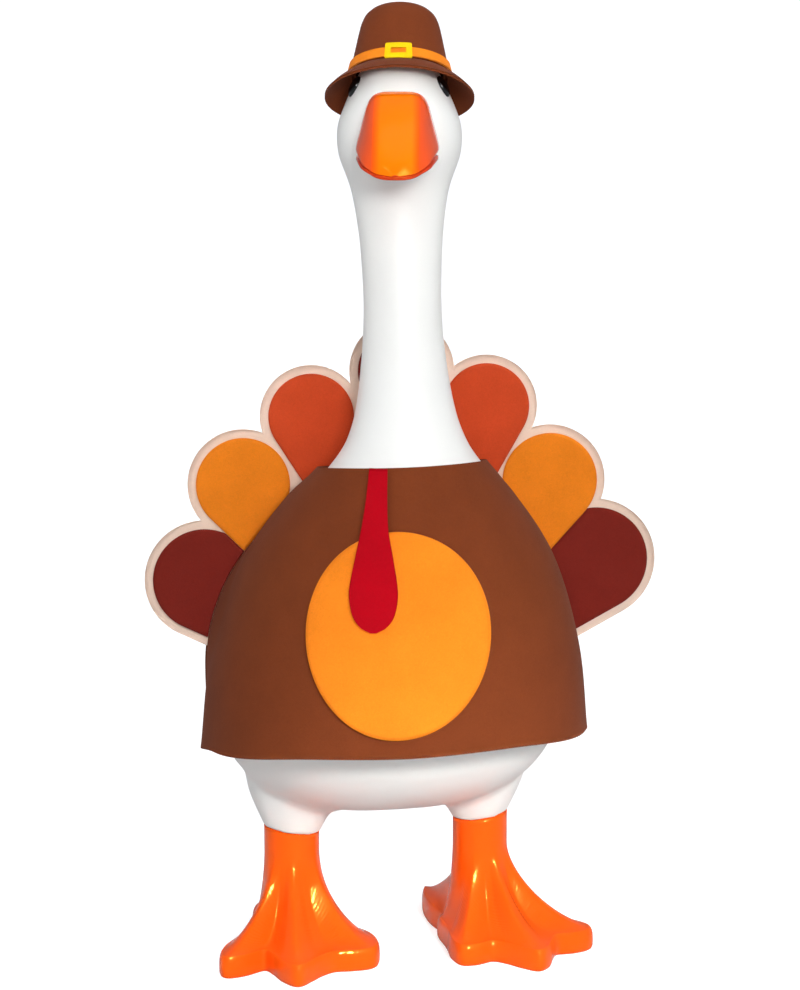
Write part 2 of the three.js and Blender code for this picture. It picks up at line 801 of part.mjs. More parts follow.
// Brim: rows out from the crown's wall, with the share of the brim's drop. It droops less in front.
const brimShares = [
  [-0.12, 0],
  [0, 0.02],
  [0.35, 0.3],
  [0.7, 0.64],
  [1, 1],
];
const brimLevelShare = 0.15; // of the drop, that the brim keeps back right in front

function brimGeometry() {
  const grid = (sink) => brimShares.map(([outShare, dropShare]) => circleSteps(turnedSides).map((turn) => {
    const radius = crownRadius + brimWidth * outShare;
    const levelled = 1 - brimLevelShare * Math.max(Math.cos(turn), 0) ** 2;
    const height = -fitGap - brimDrop * levelled * dropShare - sink;
    return [radius * Math.sin(turn), -radius * Math.cos(turn), height];
  }));
  return sheetGeometry(grid(hatFeltThickness), grid(0), true);
}

// A ring that follows the crown, standing off it by a gap.
function crownRing(gap, thickness, low, high) {
  const heights = evenSteps(bandSteps).map((step) => low + (high - low) * step);
  const inside = heights.map((height) => [crownRadiusAt(height) + gap, height]);
  const outside = heights.map((height) => [crownRadiusAt(height) + gap + thickness, height]);
  return turned([...inside, ...outside.reverse(), inside[0]]);
}

function rectanglePoints(halfWidth, low, high) {
  return [[-halfWidth, low], [halfWidth, low], [halfWidth, high], [-halfWidth, high]]
    .map(([x, y]) => new THREE.Vector2(x, y));
}

function buckleGeometry() {
  const middle = fitGap + bandHeight / 2;
  const low = middle - buckleHeight / 2;
  const high = middle + buckleHeight / 2;
  const ring = crownRing(bandThickness + 2 * fitGap, buckleThickness, fitGap, high + fitGap);
  const outline = new THREE.Shape(rectanglePoints(buckleWidth / 2, low, high));
  const window = rectanglePoints(buckleWidth / 2 - buckleFrame, low + buckleFrame, high - buckleFrame);
  outline.holes.push(new THREE.Path(window.reverse()));
  const frame = new THREE.ExtrudeGeometry(outline, { depth: 2 * crownRadius, bevelEnabled: false });
  return common(ring, frame.rotateX(Math.PI / 2));
}

function sweatbandGeometry() {
  const foot = crownRadiusAt(fitGap, hatFeltThickness) - fitGap;
  const head = crownRadiusAt(sweatbandHeight, hatFeltThickness) - fitGap;
  return turned([
    [foot, fitGap],
    [head, sweatbandHeight],
    [head - sweatbandThickness, sweatbandHeight],
    [foot - sweatbandThickness, fitGap],
    [foot, fitGap],
  ]);
}

const bandRing = crownRing(fitGap, bandThickness, fitGap, fitGap + bandHeight);
addPiece('hat_crown', cut(hatFrame(crownGeometry()), headClear), brownFelt);
addPiece('hat_brim', cut(hatFrame(brimGeometry()), headClear), brownFelt);
addPiece('hat_band', hatFrame(bandRing), orangeFelt);
addPiece('hat_buckle', hatFrame(buckleGeometry()), yellowFelt);
addPiece('hat_sweatband', cut(hatFrame(sweatbandGeometry()), headClear), brownFelt);

// Cape: lines that fall from the collar at the front, between, at the side, between and at the
// back. A row gives how far down the line it stands, then pairs of shares for the five lines: of
// the cape's reach from the neck axis, and of its drop below the collar.
const capeShares = [
  [0, 0.297, 0.03, 0.3, 0.035, 0.305, 0.055, 0.3, 0.08, 0.286, 0.09],
  [0.25, 0.363, 0.17, 0.376, 0.17, 0.425, 0.18, 0.477, 0.17, 0.483, 0.162],
  [0.5, 0.405, 0.385, 0.447, 0.385, 0.573, 0.4, 0.688, 0.38, 0.667, 0.205],
  [0.75, 0.42, 0.64, 0.497, 0.64, 0.664, 0.69, 0.835, 0.67, 0.833, 0.241],
  [1, 0.424, 0.93, 0.529, 0.926, 0.697, 0.972, 0.905, 0.975, 1, 0.285],
];
const capeLines = 5;
const capeSeekShare = 0.5; // of the cloth's gap, for one step out of the goose
const rollSlope = Math.tan(radians(capeRoll));
const turnStep = radians(1);
const fallStep = 0.01;

function capePoint(turn, fall) {
  const row = readTable(capeShares, fall);
  const lines = Array.from({ length: capeLines }, (_, line) => (
    [line / (capeLines - 1), row[1 + 2 * line], row[2 + 2 * line]]
  ));
  const mirror = (line, middle) => [2 * middle - line[0], line[1], line[2]];
  const round = [mirror(lines[1], 0), ...lines, mirror(lines[capeLines - 2], 1)];
  const [, reachShare, dropShare] = readTable(round, Math.abs(turn) / Math.PI);
  const heading = turn + radians(capeTurn);
  const height = capeTop - capeDrop * dropShare;
  const place = (reach) => {
    const across = -reach * Math.sin(heading);
    return [capeAcross + across, -collarForward - reach * Math.cos(heading), height + across * rollSlope];
  };
  const step = clothGap * capeSeekShare;
  let reach = capeReach * reachShare;
  while (insideNeck(place(reach), clothGap)) reach += step;
  const point = new THREE.Vector3(...place(reach));
  const spine = new THREE.Vector3(0, Math.max(point.y, -collarForward), bellyHeight + torsoHeight / 2);
  const away = point.clone().sub(spine).setLength(step);
  while (insideTorso(point.toArray(), clothGap)) point.add(away);
  return point;
}

function capeSurface(turn, fall, lift) {
  const across = capePoint(turn + turnStep, fall).sub(capePoint(turn - turnStep, fall));
  const lower = capePoint(turn, Math.min(fall + fallStep, 1));
  const down = lower.sub(capePoint(turn, Math.max(fall - fallStep, 0)));
  return capePoint(turn, fall).addScaledVector(across.cross(down).normalize(), lift).toArray();
}

function capeGrid(lift) {
  return evenSteps(capeRows).map((fall) => circleSteps(capeSides).map((turn) => (
    capeSurface(turn > Math.PI ? turn - fullTurn : turn, fall, lift)
  )));
}

// The fan's own frame: x across, -y ahead, z up, standing behind the neck and turned with the cape.
function fanFrame(geometry) {
  geometry.translate(fanAcross, fanBehind, 0).rotateZ(-radians(capeTurn));
  return geometry.translate(0, -collarForward, 0);
}

// Boxes that take the cape apart: at the fan, into a front and a back, and at the slit, into halves.
const cutterSize = torsoLength + capeReach;

function cutterBox(x, y) {
  return fanFrame(new THREE.BoxGeometry(cutterSize, cutterSize, 2 * cutterSize).translate(x, y, 0));
}

const fanSlot = fanThickness / 2 + fitGap;
const capeSeat = torsoGeometry(fitGap, torsoStations, torsoSides);
const slit = new THREE.BoxGeometry(closureGap, cutterSize, 2 * cutterSize);
const behindNeck = fanFrame(slit.translate(0, cutterSize / 2 - fanBehind, 0));
const cape = cut(sheetGeometry(capeGrid(0), capeGrid(clothThickness), true), capeSeat, behindNeck);
const capeBack = cut(cape, cutterBox(0, fanSlot - cutterSize / 2));
const besideSlit = (cutterSize + closureGap) / 2;
addPiece('cape_front', cut(cape, cutterBox(0, cutterSize / 2 - fanSlot)), brownFelt);
addPiece('cape_back_left', common(capeBack, cutterBox(-besideSlit, 0)), brownFelt);
addPiece('cape_back_right', common(capeBack, cutterBox(besideSlit, 0)), brownFelt);

// The place on the cape that lies across from the neck axis and at a height, seen along the look of
// the goose. Both are found by halving.
const halvings = 24;

function lookPoint(across, height, lift) {
  const lowerEnd = new THREE.Vector2(0, 1);
  let turnLow = -Math.PI / 2;
  let turnHigh = Math.PI / 2;
  let place = [];
  for (let turning = 0; turning < halvings; turning += 1) {
    const turn = (turnLow + turnHigh) / 2;
    const falls = lowerEnd.clone();
    for (let falling = 0; falling < halvings; falling += 1) {
      const fall = (falls.x + falls.y) / 2;
      place = capeSurface(turn, fall, lift);
      if (place[2] > height) falls.x = fall;
      else falls.y = fall;
    }
    const ahead = place[1] + collarForward;
    const seen = place[0] * Math.cos(radians(headTurn)) - ahead * Math.sin(radians(headTurn));
    if (seen < across) turnHigh = turn;
    else turnLow = turn;
  }
  return place;
}

// Belly patch: an ellipse of felt on the cape.
const patchLift = clothThickness + layerGap;
const patchPoleShare = 0.02; // radius of the ring round the middle

function patchGeometry() {
  const grid = (lift) => evenSteps(patchRings).map((step) => circleSteps(patchSides).map((turn) => {
    const share = Math.max(step, patchPoleShare);
    const across = patchAcross + (patchWidth / 2) * share * Math.cos(turn);
    return lookPoint(across, patchMiddle + (patchHeight / 2) * share * Math.sin(turn), lift);
  }));
  return loftGeometry([...grid(patchLift), ...grid(patchLift + patchThickness).reverse()]);
}
addPiece('belly_patch', patchGeometry(), orangeFelt);

// Wattle: a drop of felt sewn on at its top edge. Rows down its length, with the share of half its
// width, the share of the patch's thickness that it has climbed to lie over the patch, and how far
// it has swayed towards +X, in shares of its width.
const wattleShares = [
  [0, 0.38, 0, 0.08],
  [0.2, 0.45, 0.45, 0.05],
  [0.37, 0.57, 1, 0.02],
  [0.55, 0.8, 1, 0.01],
  [0.73, 1, 1, 0],
  [0.82, 0.98, 1, 0],
  [0.91, 0.82, 1, 0],
  [0.97, 0.5, 1, 0],
  [1, 0.12, 1, 0],
];
const wattleSeamShare = 0.03; // of the cape's drop, below the collar

function wattleGeometry() {
  const top = capeTop - capeDrop * wattleSeamShare;
  const grid = (lift) => evenSteps(wattleRows).map((step) => {
    const [, widthShare, climbShare, swayShare] = readTable(wattleShares, step);
    const stand = patchLift + (patchThickness + fitGap) * climbShare + lift;
    return evenSteps(wattleColumns).map((column) => {
      const offset = swayShare + (widthShare / 2) * (2 * column - 1);
      const across = wattleAcross + wattleWidth * offset;
      return lookPoint(across, top - wattleLength * step, stand);
    });
  });
  return sheetGeometry(grid(0), grid(wattleThickness), false);
}
addPiece('wattle', wattleGeometry(), redFelt);

// Closure tabs: strips of hook-and-loop across the slit down the back, by their share of its fall.
const tabFallShares = { closure_tab_upper: 0.42, closure_tab_lower: 0.78 };

function tabGeometry(fallShare) {
  const middle = capePoint(Math.PI, fallShare);
  const reach = Math.hypot(middle.x, middle.y + collarForward);
  const halfTurn = tabWidth / 2 / reach;
  const slitLength = capePoint(Math.PI, 0).distanceTo(capePoint(Math.PI, 1));
  const halfFall = tabHeight / 2 / slitLength;
  const grid = (lift) => evenSteps(tabRows).map((row) => evenSteps(tabColumns).map((column) => (
    capeSurface(Math.PI + halfTurn * (2 * column - 1), fallShare + halfFall * (2 * row - 1), lift)
  )));
  const stand = clothThickness + layerGap;
  return sheetGeometry(grid(stand), grid(stand + tabThickness), false);
}
Object.entries(tabFallShares).forEach(([name, share]) => addPiece(name, tabGeometry(share), blackTape));

// Fan: a cream back with a border round seven drop-shaped feathers, flat in its own frame.
const featherFelts = [maroonFelt, orangeFelt, rustFelt, maroonFelt, rustFelt, orangeFelt, maroonFelt];
// From -X to +X, each feather's degrees from upright to its round end and of its own axis, and its
// shares of the fan's reach and of a feather's radius.
const featherShares = [
  [-95.6, -37.4, 1.154, 1.19],
  [-64.2, -18.1, 1.022, 1.083],
  [-31.9, -5.6, 0.988, 0.986],
  [0.4, -0.6, 1.099, 1.022],
  [29.5, 2.4, 1.019, 1.002],
  [63.2, 14.9, 0.987, 1.114],
  [91.5, 34.2, 1.159, 1.233],
];
const middleFeather = (featherFelts.length - 1) / 2;

function featherShape(growth, index) {
  const [turnDegrees, leanDegrees, reachShare, radiusShare] = featherShares[index + middleFeather];
  const turn = radians(turnDegrees);
  const lean = radians(leanDegrees);
  const middle = new THREE.Vector2(Math.sin(turn), Math.cos(turn)).multiplyScalar(fanReach * reachShare);
  middle.y += fanMiddle;
  const inwards = new THREE.Vector2(-Math.sin(lean), -Math.cos(lean));
  const radius = featherRadius * radiusShare + growth;
  const rootDistance = (featherLength / featherRadius) * radius;
  const root = inwards.multiplyScalar(rootDistance).add(middle);
  const tangent = Math.acos(radius / rootDistance);
  const away = Math.atan2(root.y - middle.y, root.x - middle.x);
  const touch = new THREE.Vector2(radius, 0).rotateAround(new THREE.Vector2(), away + tangent).add(middle);
  const shape = new THREE.Shape();
  shape.moveTo(root.x, root.y);
  shape.lineTo(touch.x, touch.y);
  shape.absarc(middle.x, middle.y, radius, away + tangent, away - tangent + fullTurn, false);
  return shape;
}

function featherPlate(growth, index, thickness, ahead) {
  const options = { depth: thickness, bevelEnabled: false, curveSegments: featherSegments };
  const plate = new THREE.ExtrudeGeometry(featherShape(growth, index), options);
  return fanFrame(plate.rotateX(Math.PI / 2).translate(0, -ahead, 0));
}

// All that lies inside the cape, or under it, down to the ground.
function capeCore(lift) {
  const rings = capeGrid(lift);
  const shadow = rings[rings.length - 1].map(([x, y]) => [x, y, 0]);
  return loftGeometry([...rings, shadow]);
}

const fanHole = capeCore(fitGap);
const featherHole = capeCore(clothThickness + fitGap);
const borders = featherFelts.map((_, place) => (
  featherPlate(borderWidth, place - middleFeather, fanThickness, -fanThickness / 2)
));
addPiece('fan_back', cut(join(...borders), fanHole), creamFelt);

// A feather is cut away where the next one towards the rust ones lies over it.
featherFelts.forEach((felt, place) => {
  const index = place - middleFeather;
  const plate = featherPlate(0, index, featherThickness, fanSlot);
  const outer = Math.abs(index) > 1 ? [index - Math.sign(index)] : [];
  const over = index === 0 ? sides : outer;
  const coverThickness = featherThickness + 2 * overrun;
  const covers = over.map((at) => featherPlate(fitGap, at, coverThickness, fanSlot - overrun));
  addPiece(`feather_${place + 1}`, cut(plate, ...covers, featherHole), felt);
});

// The origin stands on the ground under the middle of the whole figure.
const middle = new THREE.Box3().setFromObject(goose).getCenter(new THREE.Vector3());
goose.position.set(-middle.x, -middle.y, 0);

export default goose;
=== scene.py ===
# %% [markdown]
# # A plastic porch goose, dressed for Thanksgiving
# The real thing is a hollow goose of moulded plastic, some 60 centimetres tall, that stands on a
# porch and is dressed for the season. Here it wears a turkey costume of felt: a hat, a cape with a
# belly patch and a wattle, and a fan of feathers. The goose is smooth and satin, its feet and bill
# are glossy paint, and the costume is matt felt, so the picture lives on that contrast.

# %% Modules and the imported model
import math

import bpy
import numpy as np
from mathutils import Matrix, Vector


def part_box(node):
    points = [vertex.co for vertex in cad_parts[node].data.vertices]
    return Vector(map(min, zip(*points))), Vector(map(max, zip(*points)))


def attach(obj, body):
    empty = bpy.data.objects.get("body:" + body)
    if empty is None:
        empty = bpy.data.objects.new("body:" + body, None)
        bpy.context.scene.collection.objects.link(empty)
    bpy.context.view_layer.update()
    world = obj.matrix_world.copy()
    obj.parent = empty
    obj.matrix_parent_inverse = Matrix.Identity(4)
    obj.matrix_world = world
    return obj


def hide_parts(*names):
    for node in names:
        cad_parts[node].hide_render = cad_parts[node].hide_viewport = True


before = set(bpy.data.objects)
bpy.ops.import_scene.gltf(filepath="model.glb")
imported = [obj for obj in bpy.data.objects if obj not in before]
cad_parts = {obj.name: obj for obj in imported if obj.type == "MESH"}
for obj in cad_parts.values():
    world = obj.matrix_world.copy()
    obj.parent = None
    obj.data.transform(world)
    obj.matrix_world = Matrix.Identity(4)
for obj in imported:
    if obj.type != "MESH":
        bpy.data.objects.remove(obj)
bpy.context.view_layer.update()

# %% [markdown]
# ## Where the pieces stand
# All sizes below are millimetres in the goose's own frame: x across, -y ahead, z up, with the
# ankles on the line y = 0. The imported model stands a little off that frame. The filling plug is
# round and lies straight behind the ankles, so the middle of its box tells where the frame went.

# %% From the goose's frame to the scene
MILLIMETRE = 0.001
plug_back = 72
plug_low, plug_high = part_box("fill_plug")
plug_middle = (plug_low + plug_high) / 2
shift = np.array([plug_middle.x, plug_middle.y - plug_back * MILLIMETRE, 0])


def to_scene(points):
    """Millimetres in the goose's frame become metres in the scene."""
    return np.asarray(points, float) * MILLIMETRE + shift


print("the goose's frame stands at", shift.round(4))

# %% [markdown]
# ## Tables and smooth curves
# A moulded form has no formula of its own, so its outline is a short table of stations. A smooth
# curve runs through the rows: between two rows it is a cubic, and at each row it has the mean slope
# of the rows on both sides.

# %% Reading a table
def curve_between(part, rise, leave, arrive):
    """part*(leave + part*(bend + part*twist)), from 0 to the rise, with the slopes wanted at both ends."""
    bend = 3 * rise - 2 * leave - arrive
    twist = leave + arrive - 2 * rise
    return part * (leave + part * (bend + part * twist))


def read_table(table, at):
    """The table's values at each of at: the row's own values plus the curve towards the next row."""
    rows = np.asarray(table, float)
    keys, values = rows[:, 0], rows[:, 1:]
    last = len(keys) - 1
    before = np.maximum(np.arange(last + 1) - 1, 0)
    after = np.minimum(np.arange(last + 1) + 1, last)
    slopes = (values[after] - values[before]) / (keys[after] - keys[before])[:, None]
    at = np.asarray(at, float)
    row = np.searchsorted(keys[1:-1], at)
    span = (keys[row + 1] - keys[row])[..., None]
    part = np.clip((at[..., None] - keys[row][..., None]) / span, 0, 1)
    rise = values[row + 1] - values[row]
    return values[row] + curve_between(part, rise, slopes[row] * span, slopes[row + 1] * span)


def evenly(count):
    """Numbers from 0 to 1 in equal steps."""
    return np.linspace(0, 1, count + 1)


def full_turn(count):
    """Angles round a circle, the last step left open."""
    return np.linspace(0, math.tau, count, endpoint=False)


def rounded(value, power):
    """sign * |value|^(2/power), for a sine or cosine: power 2 gives a circle, and more is boxier."""
    return np.sign(value) * np.abs(value) ** (2 / power)


print("half way from 0 to 1 with level ends:", curve_between(0.5, 1, 0, 0))

# %% [markdown]
# ## From a grid of points to a mesh
# Every piece is a grid: rows along it and columns across or round it. Neighbours in the grid make
# the faces, a pole closes a tube's end, and a cloth sheet is two grids with a rim between them. The
# faces have to point outwards, and the sign of the enclosed volume tells whether they do.

# %% Faces between rows and columns
def grid_faces(rows, columns, wrap=False, first=0):
    """Four corners for each cell: its own point, the next column's, and the two of the next row."""
    row = np.arange(rows - 1)[:, None] * columns + first
    column = np.arange(columns if wrap else columns - 1)[None, :]
    after = (column + 1) % columns
    corners = [row + column, row + after, row + columns + after, row + columns + column]
    return np.stack(corners, -1).reshape(-1, 4)


def volume_of(points, faces):
    """A sixth of the sum of a . (b x c) over the triangles of all the four-cornered faces."""
    a, b, c, d = (points[faces[:, corner]] for corner in range(4))
    halves = (a * np.cross(b, c)).sum() + (a * np.cross(c, d)).sum()
    return halves / 6


print("faces of a grid of 3 by 4 points:", len(grid_faces(3, 4)), "and closed", len(grid_faces(3, 4, True)))


# %% A piece from points and faces
def make_piece(name, points, faces):
    """A mesh object of the points, given in millimetres, with its faces turned outwards.

    A face at a pole names the pole twice, and becomes a triangle.
    """
    if volume_of(points, faces) < 0:
        faces = faces[:, ::-1]
    corners = [list(dict.fromkeys(face)) for face in faces.tolist()]
    mesh = bpy.data.meshes.new(name)
    mesh.from_pydata(to_scene(points).tolist(), [], corners)
    mesh.validate()
    mesh.polygons.foreach_set("use_smooth", np.ones(len(mesh.polygons), bool))
    piece = bpy.data.objects.new(name, mesh)
    bpy.context.scene.collection.objects.link(piece)
    return piece


# %% Tubes and sheets
def tube_surface(rings):
    """Rings (rows, columns, 3), closed at both ends by a pole in the middle of the ring."""
    rows, columns = rings.shape[:2]
    poles = rings[[0, -1]].mean(1)
    points = np.concatenate([rings.reshape(-1, 3), poles])
    side = np.arange(columns)
    after = (side + 1) % columns
    low_pole = np.full(columns, rows * columns)
    high = (rows - 1) * columns
    start = np.stack([after, side, low_pole, low_pole], -1)
    end = np.stack([high + side, high + after, low_pole + 1, low_pole + 1], -1)
    return points, np.concatenate([grid_faces(rows, columns, True), start, end])


def sheet_surface(inner, outer, wrap=False):
    """Two grids of the same size, one for each face of the cloth, with a rim all the way round."""
    rows, columns = inner.shape[:2]
    points = np.concatenate([inner.reshape(-1, 3), outer.reshape(-1, 3)])
    count = rows * columns
    under = grid_faces(rows, columns, wrap)[:, ::-1]
    over = grid_faces(rows, columns, wrap, count)
    index = np.arange(count).reshape(rows, columns)
    edges = [index[0], index[-1, ::-1]]
    if wrap:
        edges = [np.append(edge, edge[0]) for edge in edges]
    else:
        edges = [np.concatenate([index[0], index[1:, -1], index[-1, -2::-1], index[-2::-1, 0]])]
    rims = [np.stack([edge[1:], edge[:-1], edge[:-1] + count, edge[1:] + count], -1) for edge in edges]
    return points, np.concatenate([under, over, *rims])


def area_of(grid):
    """Square metres of a grid of points in millimetres: half the cross product of the diagonals."""
    across = grid[1:, 1:] - grid[:-1, :-1]
    along = grid[1:, :-1] - grid[:-1, 1:]
    return float(np.linalg.norm(np.cross(across, along), axis=-1).sum() / 2) * MILLIMETRE ** 2


unit_square = np.array([[[0, 0, 0], [1, 0, 0]], [[0, 1, 0], [1, 1, 0]]])
print("a square millimetre is", area_of(unit_square), "square metres")

# %% [markdown]
# ## Colours and finishes
# Paint and felt are given as the colours that the eye sees, in hexadecimal, and turned into the
# linear light that the renderer counts in. Satin plastic gets a faint unevenness, because blow
# moulding never leaves a perfect skin. Felt is pressed fibre: matt, slightly furry at grazing
# angles, mottled, and full of short fibres that lie every way.

# %% Linear colour
def light_of(code):
    """The renderer's linear red, green and blue of a hexadecimal colour."""
    channels = np.array([int(code[at:at + 2], 16) for at in (0, 2, 4)]) / 255
    linear = np.where(channels <= 0.04045, channels / 12.92, ((channels + 0.055) / 1.055) ** 2.4)
    return (*linear, 1.0)


def start_finish(name):
    """A new material with its shader, and a helper that adds a node with its settings."""
    finish = bpy.data.materials.new(name)
    finish.use_nodes = True
    tree = finish.node_tree
    shader = tree.nodes["Principled BSDF"]

    def add(kind, **settings):
        node = tree.nodes.new(kind)
        for key, value in settings.items():
            if key in node.inputs:
                node.inputs[key].default_value = value
            else:
                setattr(node, key, value)
        return node

    return finish, tree, shader, add


def noise(tree, add, scale, **settings):
    """A noise that lies fixed in the piece: it reads the piece's own coordinates, in metres."""
    place = add("ShaderNodeTexCoord")
    cloud = add("ShaderNodeTexNoise", Scale=scale, **settings)
    tree.links.new(place.outputs["Object"], cloud.inputs["Vector"])
    return cloud.outputs["Fac"]


def raise_by(tree, add, shader, height, distance, strength=1.0):
    """Lets a height from 0 to 1 stand for a relief of so many metres."""
    bump = add("ShaderNodeBump", Strength=strength, Distance=distance)
    tree.links.new(height, bump.inputs["Height"])
    tree.links.new(bump.outputs["Normal"], shader.inputs["Normal"])


# %% [markdown]
# The plastic is white where it is bare, and orange, red or black where it is painted. Painted
# plastic reflects with a golden tint here, which keeps the orange warm in its highlights. One noise
# does two jobs: it spreads the roughness a little and raises the long shallow waves of a mould.

# %% Moulded plastic, painted or bare
mould_scale = 38
smoothest_share, roughest_share = 0.85, 1.2
white_gloss, golden_gloss = "ffffff", "ffc85a"


def plastic_finish(name, code, roughness, wave_height, gloss=white_gloss, level=0.5):
    """One colour, a tinted gloss, and a roughness between its smoothest and roughest share."""
    finish, tree, shader, add = start_finish(name)
    shader.inputs["Base Color"].default_value = light_of(code)
    shader.inputs["Specular IOR Level"].default_value = level
    shader.inputs["Specular Tint"].default_value = light_of(gloss)
    waves = noise(tree, add, mould_scale, Detail=3)
    spread = add("ShaderNodeMapRange")
    spread.inputs["To Min"].default_value = roughness * smoothest_share
    spread.inputs["To Max"].default_value = roughness * roughest_share
    tree.links.new(waves, spread.inputs["Value"])
    tree.links.new(spread.outputs["Result"], shader.inputs["Roughness"])
    raise_by(tree, add, shader, waves, wave_height)
    return finish


shell_wave, leg_wave, lip_wave, eye_wave = 0.0004, 0.0003, 0.0002, 0.0001
white_plastic = plastic_finish("white_plastic", "f3f3ee", 0.38, shell_wave)
orange_plastic = plastic_finish("orange_plastic", "fc570c", 0.17, leg_wave, golden_gloss, level=1.0)
lip_plastic = plastic_finish("lip_plastic", "d03a16", 0.24, lip_wave, golden_gloss)
eye_plastic = plastic_finish("eye_plastic", "060607", 0.15, eye_wave)
print("plastics:", [material.name for material in bpy.data.materials])

# %% [markdown]
# Felt gets two sizes of noise: broad clouds, because dye never takes evenly, and fibres about a
# millimetre and a half long. Both darken and lighten the colour, and the fibres also stand up.

# %% Felt
fibre_scale, cloud_scale = 620, 46
fibre_height = 0.00022
cloud_share = 0.4


def felt_finish(name, code, shade_share=0.12):
    """Colour * (1 - share) where both noises are low, to colour * (1 + share) where they are high."""
    finish, tree, shader, add = start_finish(name)
    shader.inputs["Roughness"].default_value = 0.96
    shader.inputs["Specular IOR Level"].default_value = 0.08
    shader.inputs["Sheen Weight"].default_value = 0.04
    shader.inputs["Sheen Roughness"].default_value = 0.4
    fibres = noise(tree, add, fibre_scale, Detail=4, Roughness=0.62, Distortion=1.6)
    clouds = noise(tree, add, cloud_scale, Detail=3)
    both = add("ShaderNodeMix", data_type="FLOAT", Factor=cloud_share)
    tree.links.new(fibres, both.inputs["A"])
    tree.links.new(clouds, both.inputs["B"])
    shades = add("ShaderNodeValToRGB")
    colour = np.array(light_of(code))
    low, high = shades.color_ramp.elements
    low.position, high.position = 0.3, 0.7
    low.color = (*(colour[:3] * (1 - shade_share)), 1)
    high.color = (*np.minimum(colour[:3] * (1 + shade_share), 1), 1)
    tree.links.new(both.outputs["Result"], shades.inputs["Fac"])
    tree.links.new(shades.outputs["Color"], shader.inputs["Base Color"])
    raise_by(tree, add, shader, fibres, fibre_height, strength=0.55)
    return finish


brown_felt = felt_finish("brown_felt", "75381c")
orange_felt = felt_finish("orange_felt", "f0841f")
band_felt = felt_finish("band_felt", "f88a20")
yellow_felt = felt_finish("yellow_felt", "f7cc12")
red_felt = felt_finish("red_felt", "ae0315")
rust_felt = felt_finish("rust_felt", "cb4925")
maroon_felt = felt_finish("maroon_felt", "7d261d")
cream_felt = felt_finish("cream_felt", "f5dac4", 0.06)
black_tape = felt_finish("black_tape", "2a2522", 0.25)
print("felts:", [material.name for material in bpy.data.materials if "plastic" not in material.name])


# %% Dressing a piece
def dress(piece, finish, body="goose", nodes=()):
    """Gives a piece its finish and its material slot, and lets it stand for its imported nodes."""
    piece.data.materials.clear()
    piece.data.materials.append(finish)
    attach(piece, body)
    if nodes:
        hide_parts(*nodes)
    return piece


print("packed nodes to dress or replace:", len(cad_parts))

# %% [markdown]
# ## The body: one blown shell
# The goose is blown in one piece, so its torso, neck and thighs flow into each other. It could be
# sculpted, but three simple surfaces are easier to measure and to change: torso, neck with head,
# and thighs. A voxel remesh welds them, and smoothing where they meet gives the mould's fillets.
#
# The torso is a row of rounded sections from breast to tail. The table gives, for each share of the
# length, the shares of the width, and of the height for the section's top and bottom.

# %% Torso
belly_height, torso_height, torso_width, torso_length = 99, 222, 234, 398
breast_reach = 126
torso_waist_share = 0.45
back_power, belly_power = 2, 2.7
torso_shares = [
    [0, 0.02, 0.62, 0.6],
    [0.008, 0.24, 0.73, 0.49],
    [0.022, 0.4, 0.8, 0.4],
    [0.045, 0.56, 0.87, 0.3],
    [0.085, 0.74, 0.94, 0.18],
    [0.148, 0.89, 0.99, 0.08],
    [0.23, 0.975, 1, 0.015],
    [0.325, 1, 0.975, 0],
    [0.437, 0.925, 0.925, 0.02],
    [0.56, 0.785, 0.86, 0.085],
    [0.684, 0.63, 0.79, 0.2],
    [0.807, 0.43, 0.735, 0.355],
    [0.906, 0.28, 0.705, 0.48],
    [0.965, 0.17, 0.69, 0.555],
    [0.99, 0.09, 0.665, 0.595],
    [1, 0.02, 0.64, 0.63],
]


def torso_section(length_share, growth=0.0):
    """Half width, widest height, and rise and fall from it, at shares of the length."""
    table = read_table(torso_shares, np.clip(length_share, 0, 1))
    top = belly_height + torso_height * table[..., 1]
    bottom = belly_height + torso_height * table[..., 2]
    waist = bottom + (top - bottom) * torso_waist_share
    return torso_width / 2 * table[..., 0] + growth, waist, top - waist + growth, waist - bottom + growth


def torso_rings(stations, columns):
    """Sections across the length: x = half*cos, z = waist + rise or fall*sin, both squared a little."""
    share = (1 - np.cos(np.pi * evenly(stations)))[:, None] / 2
    half, waist, rise, fall = torso_section(share)
    turn = full_turn(columns)[None, :]
    power = np.where(np.sin(turn) > 0, back_power, belly_power)
    up = rounded(np.sin(turn), power)
    x = half * rounded(np.cos(turn), power)
    y = -breast_reach + torso_length * share + 0 * turn
    return np.stack([x, y, waist + np.where(up > 0, rise, fall) * up], -1)


torso = torso_rings(90, 120)
print("torso:", np.ptp(torso, (0, 1)).round(1), "mm across, along and up")

# %% [markdown]
# The neck and head are a stack of ovals. Each row of the table gives the oval's half width, how far
# it reaches ahead and back, and how far ahead its axis stands. The head looks a little to one side,
# so the ovals turn with their height, from none at the shoulders to all of it under the head.

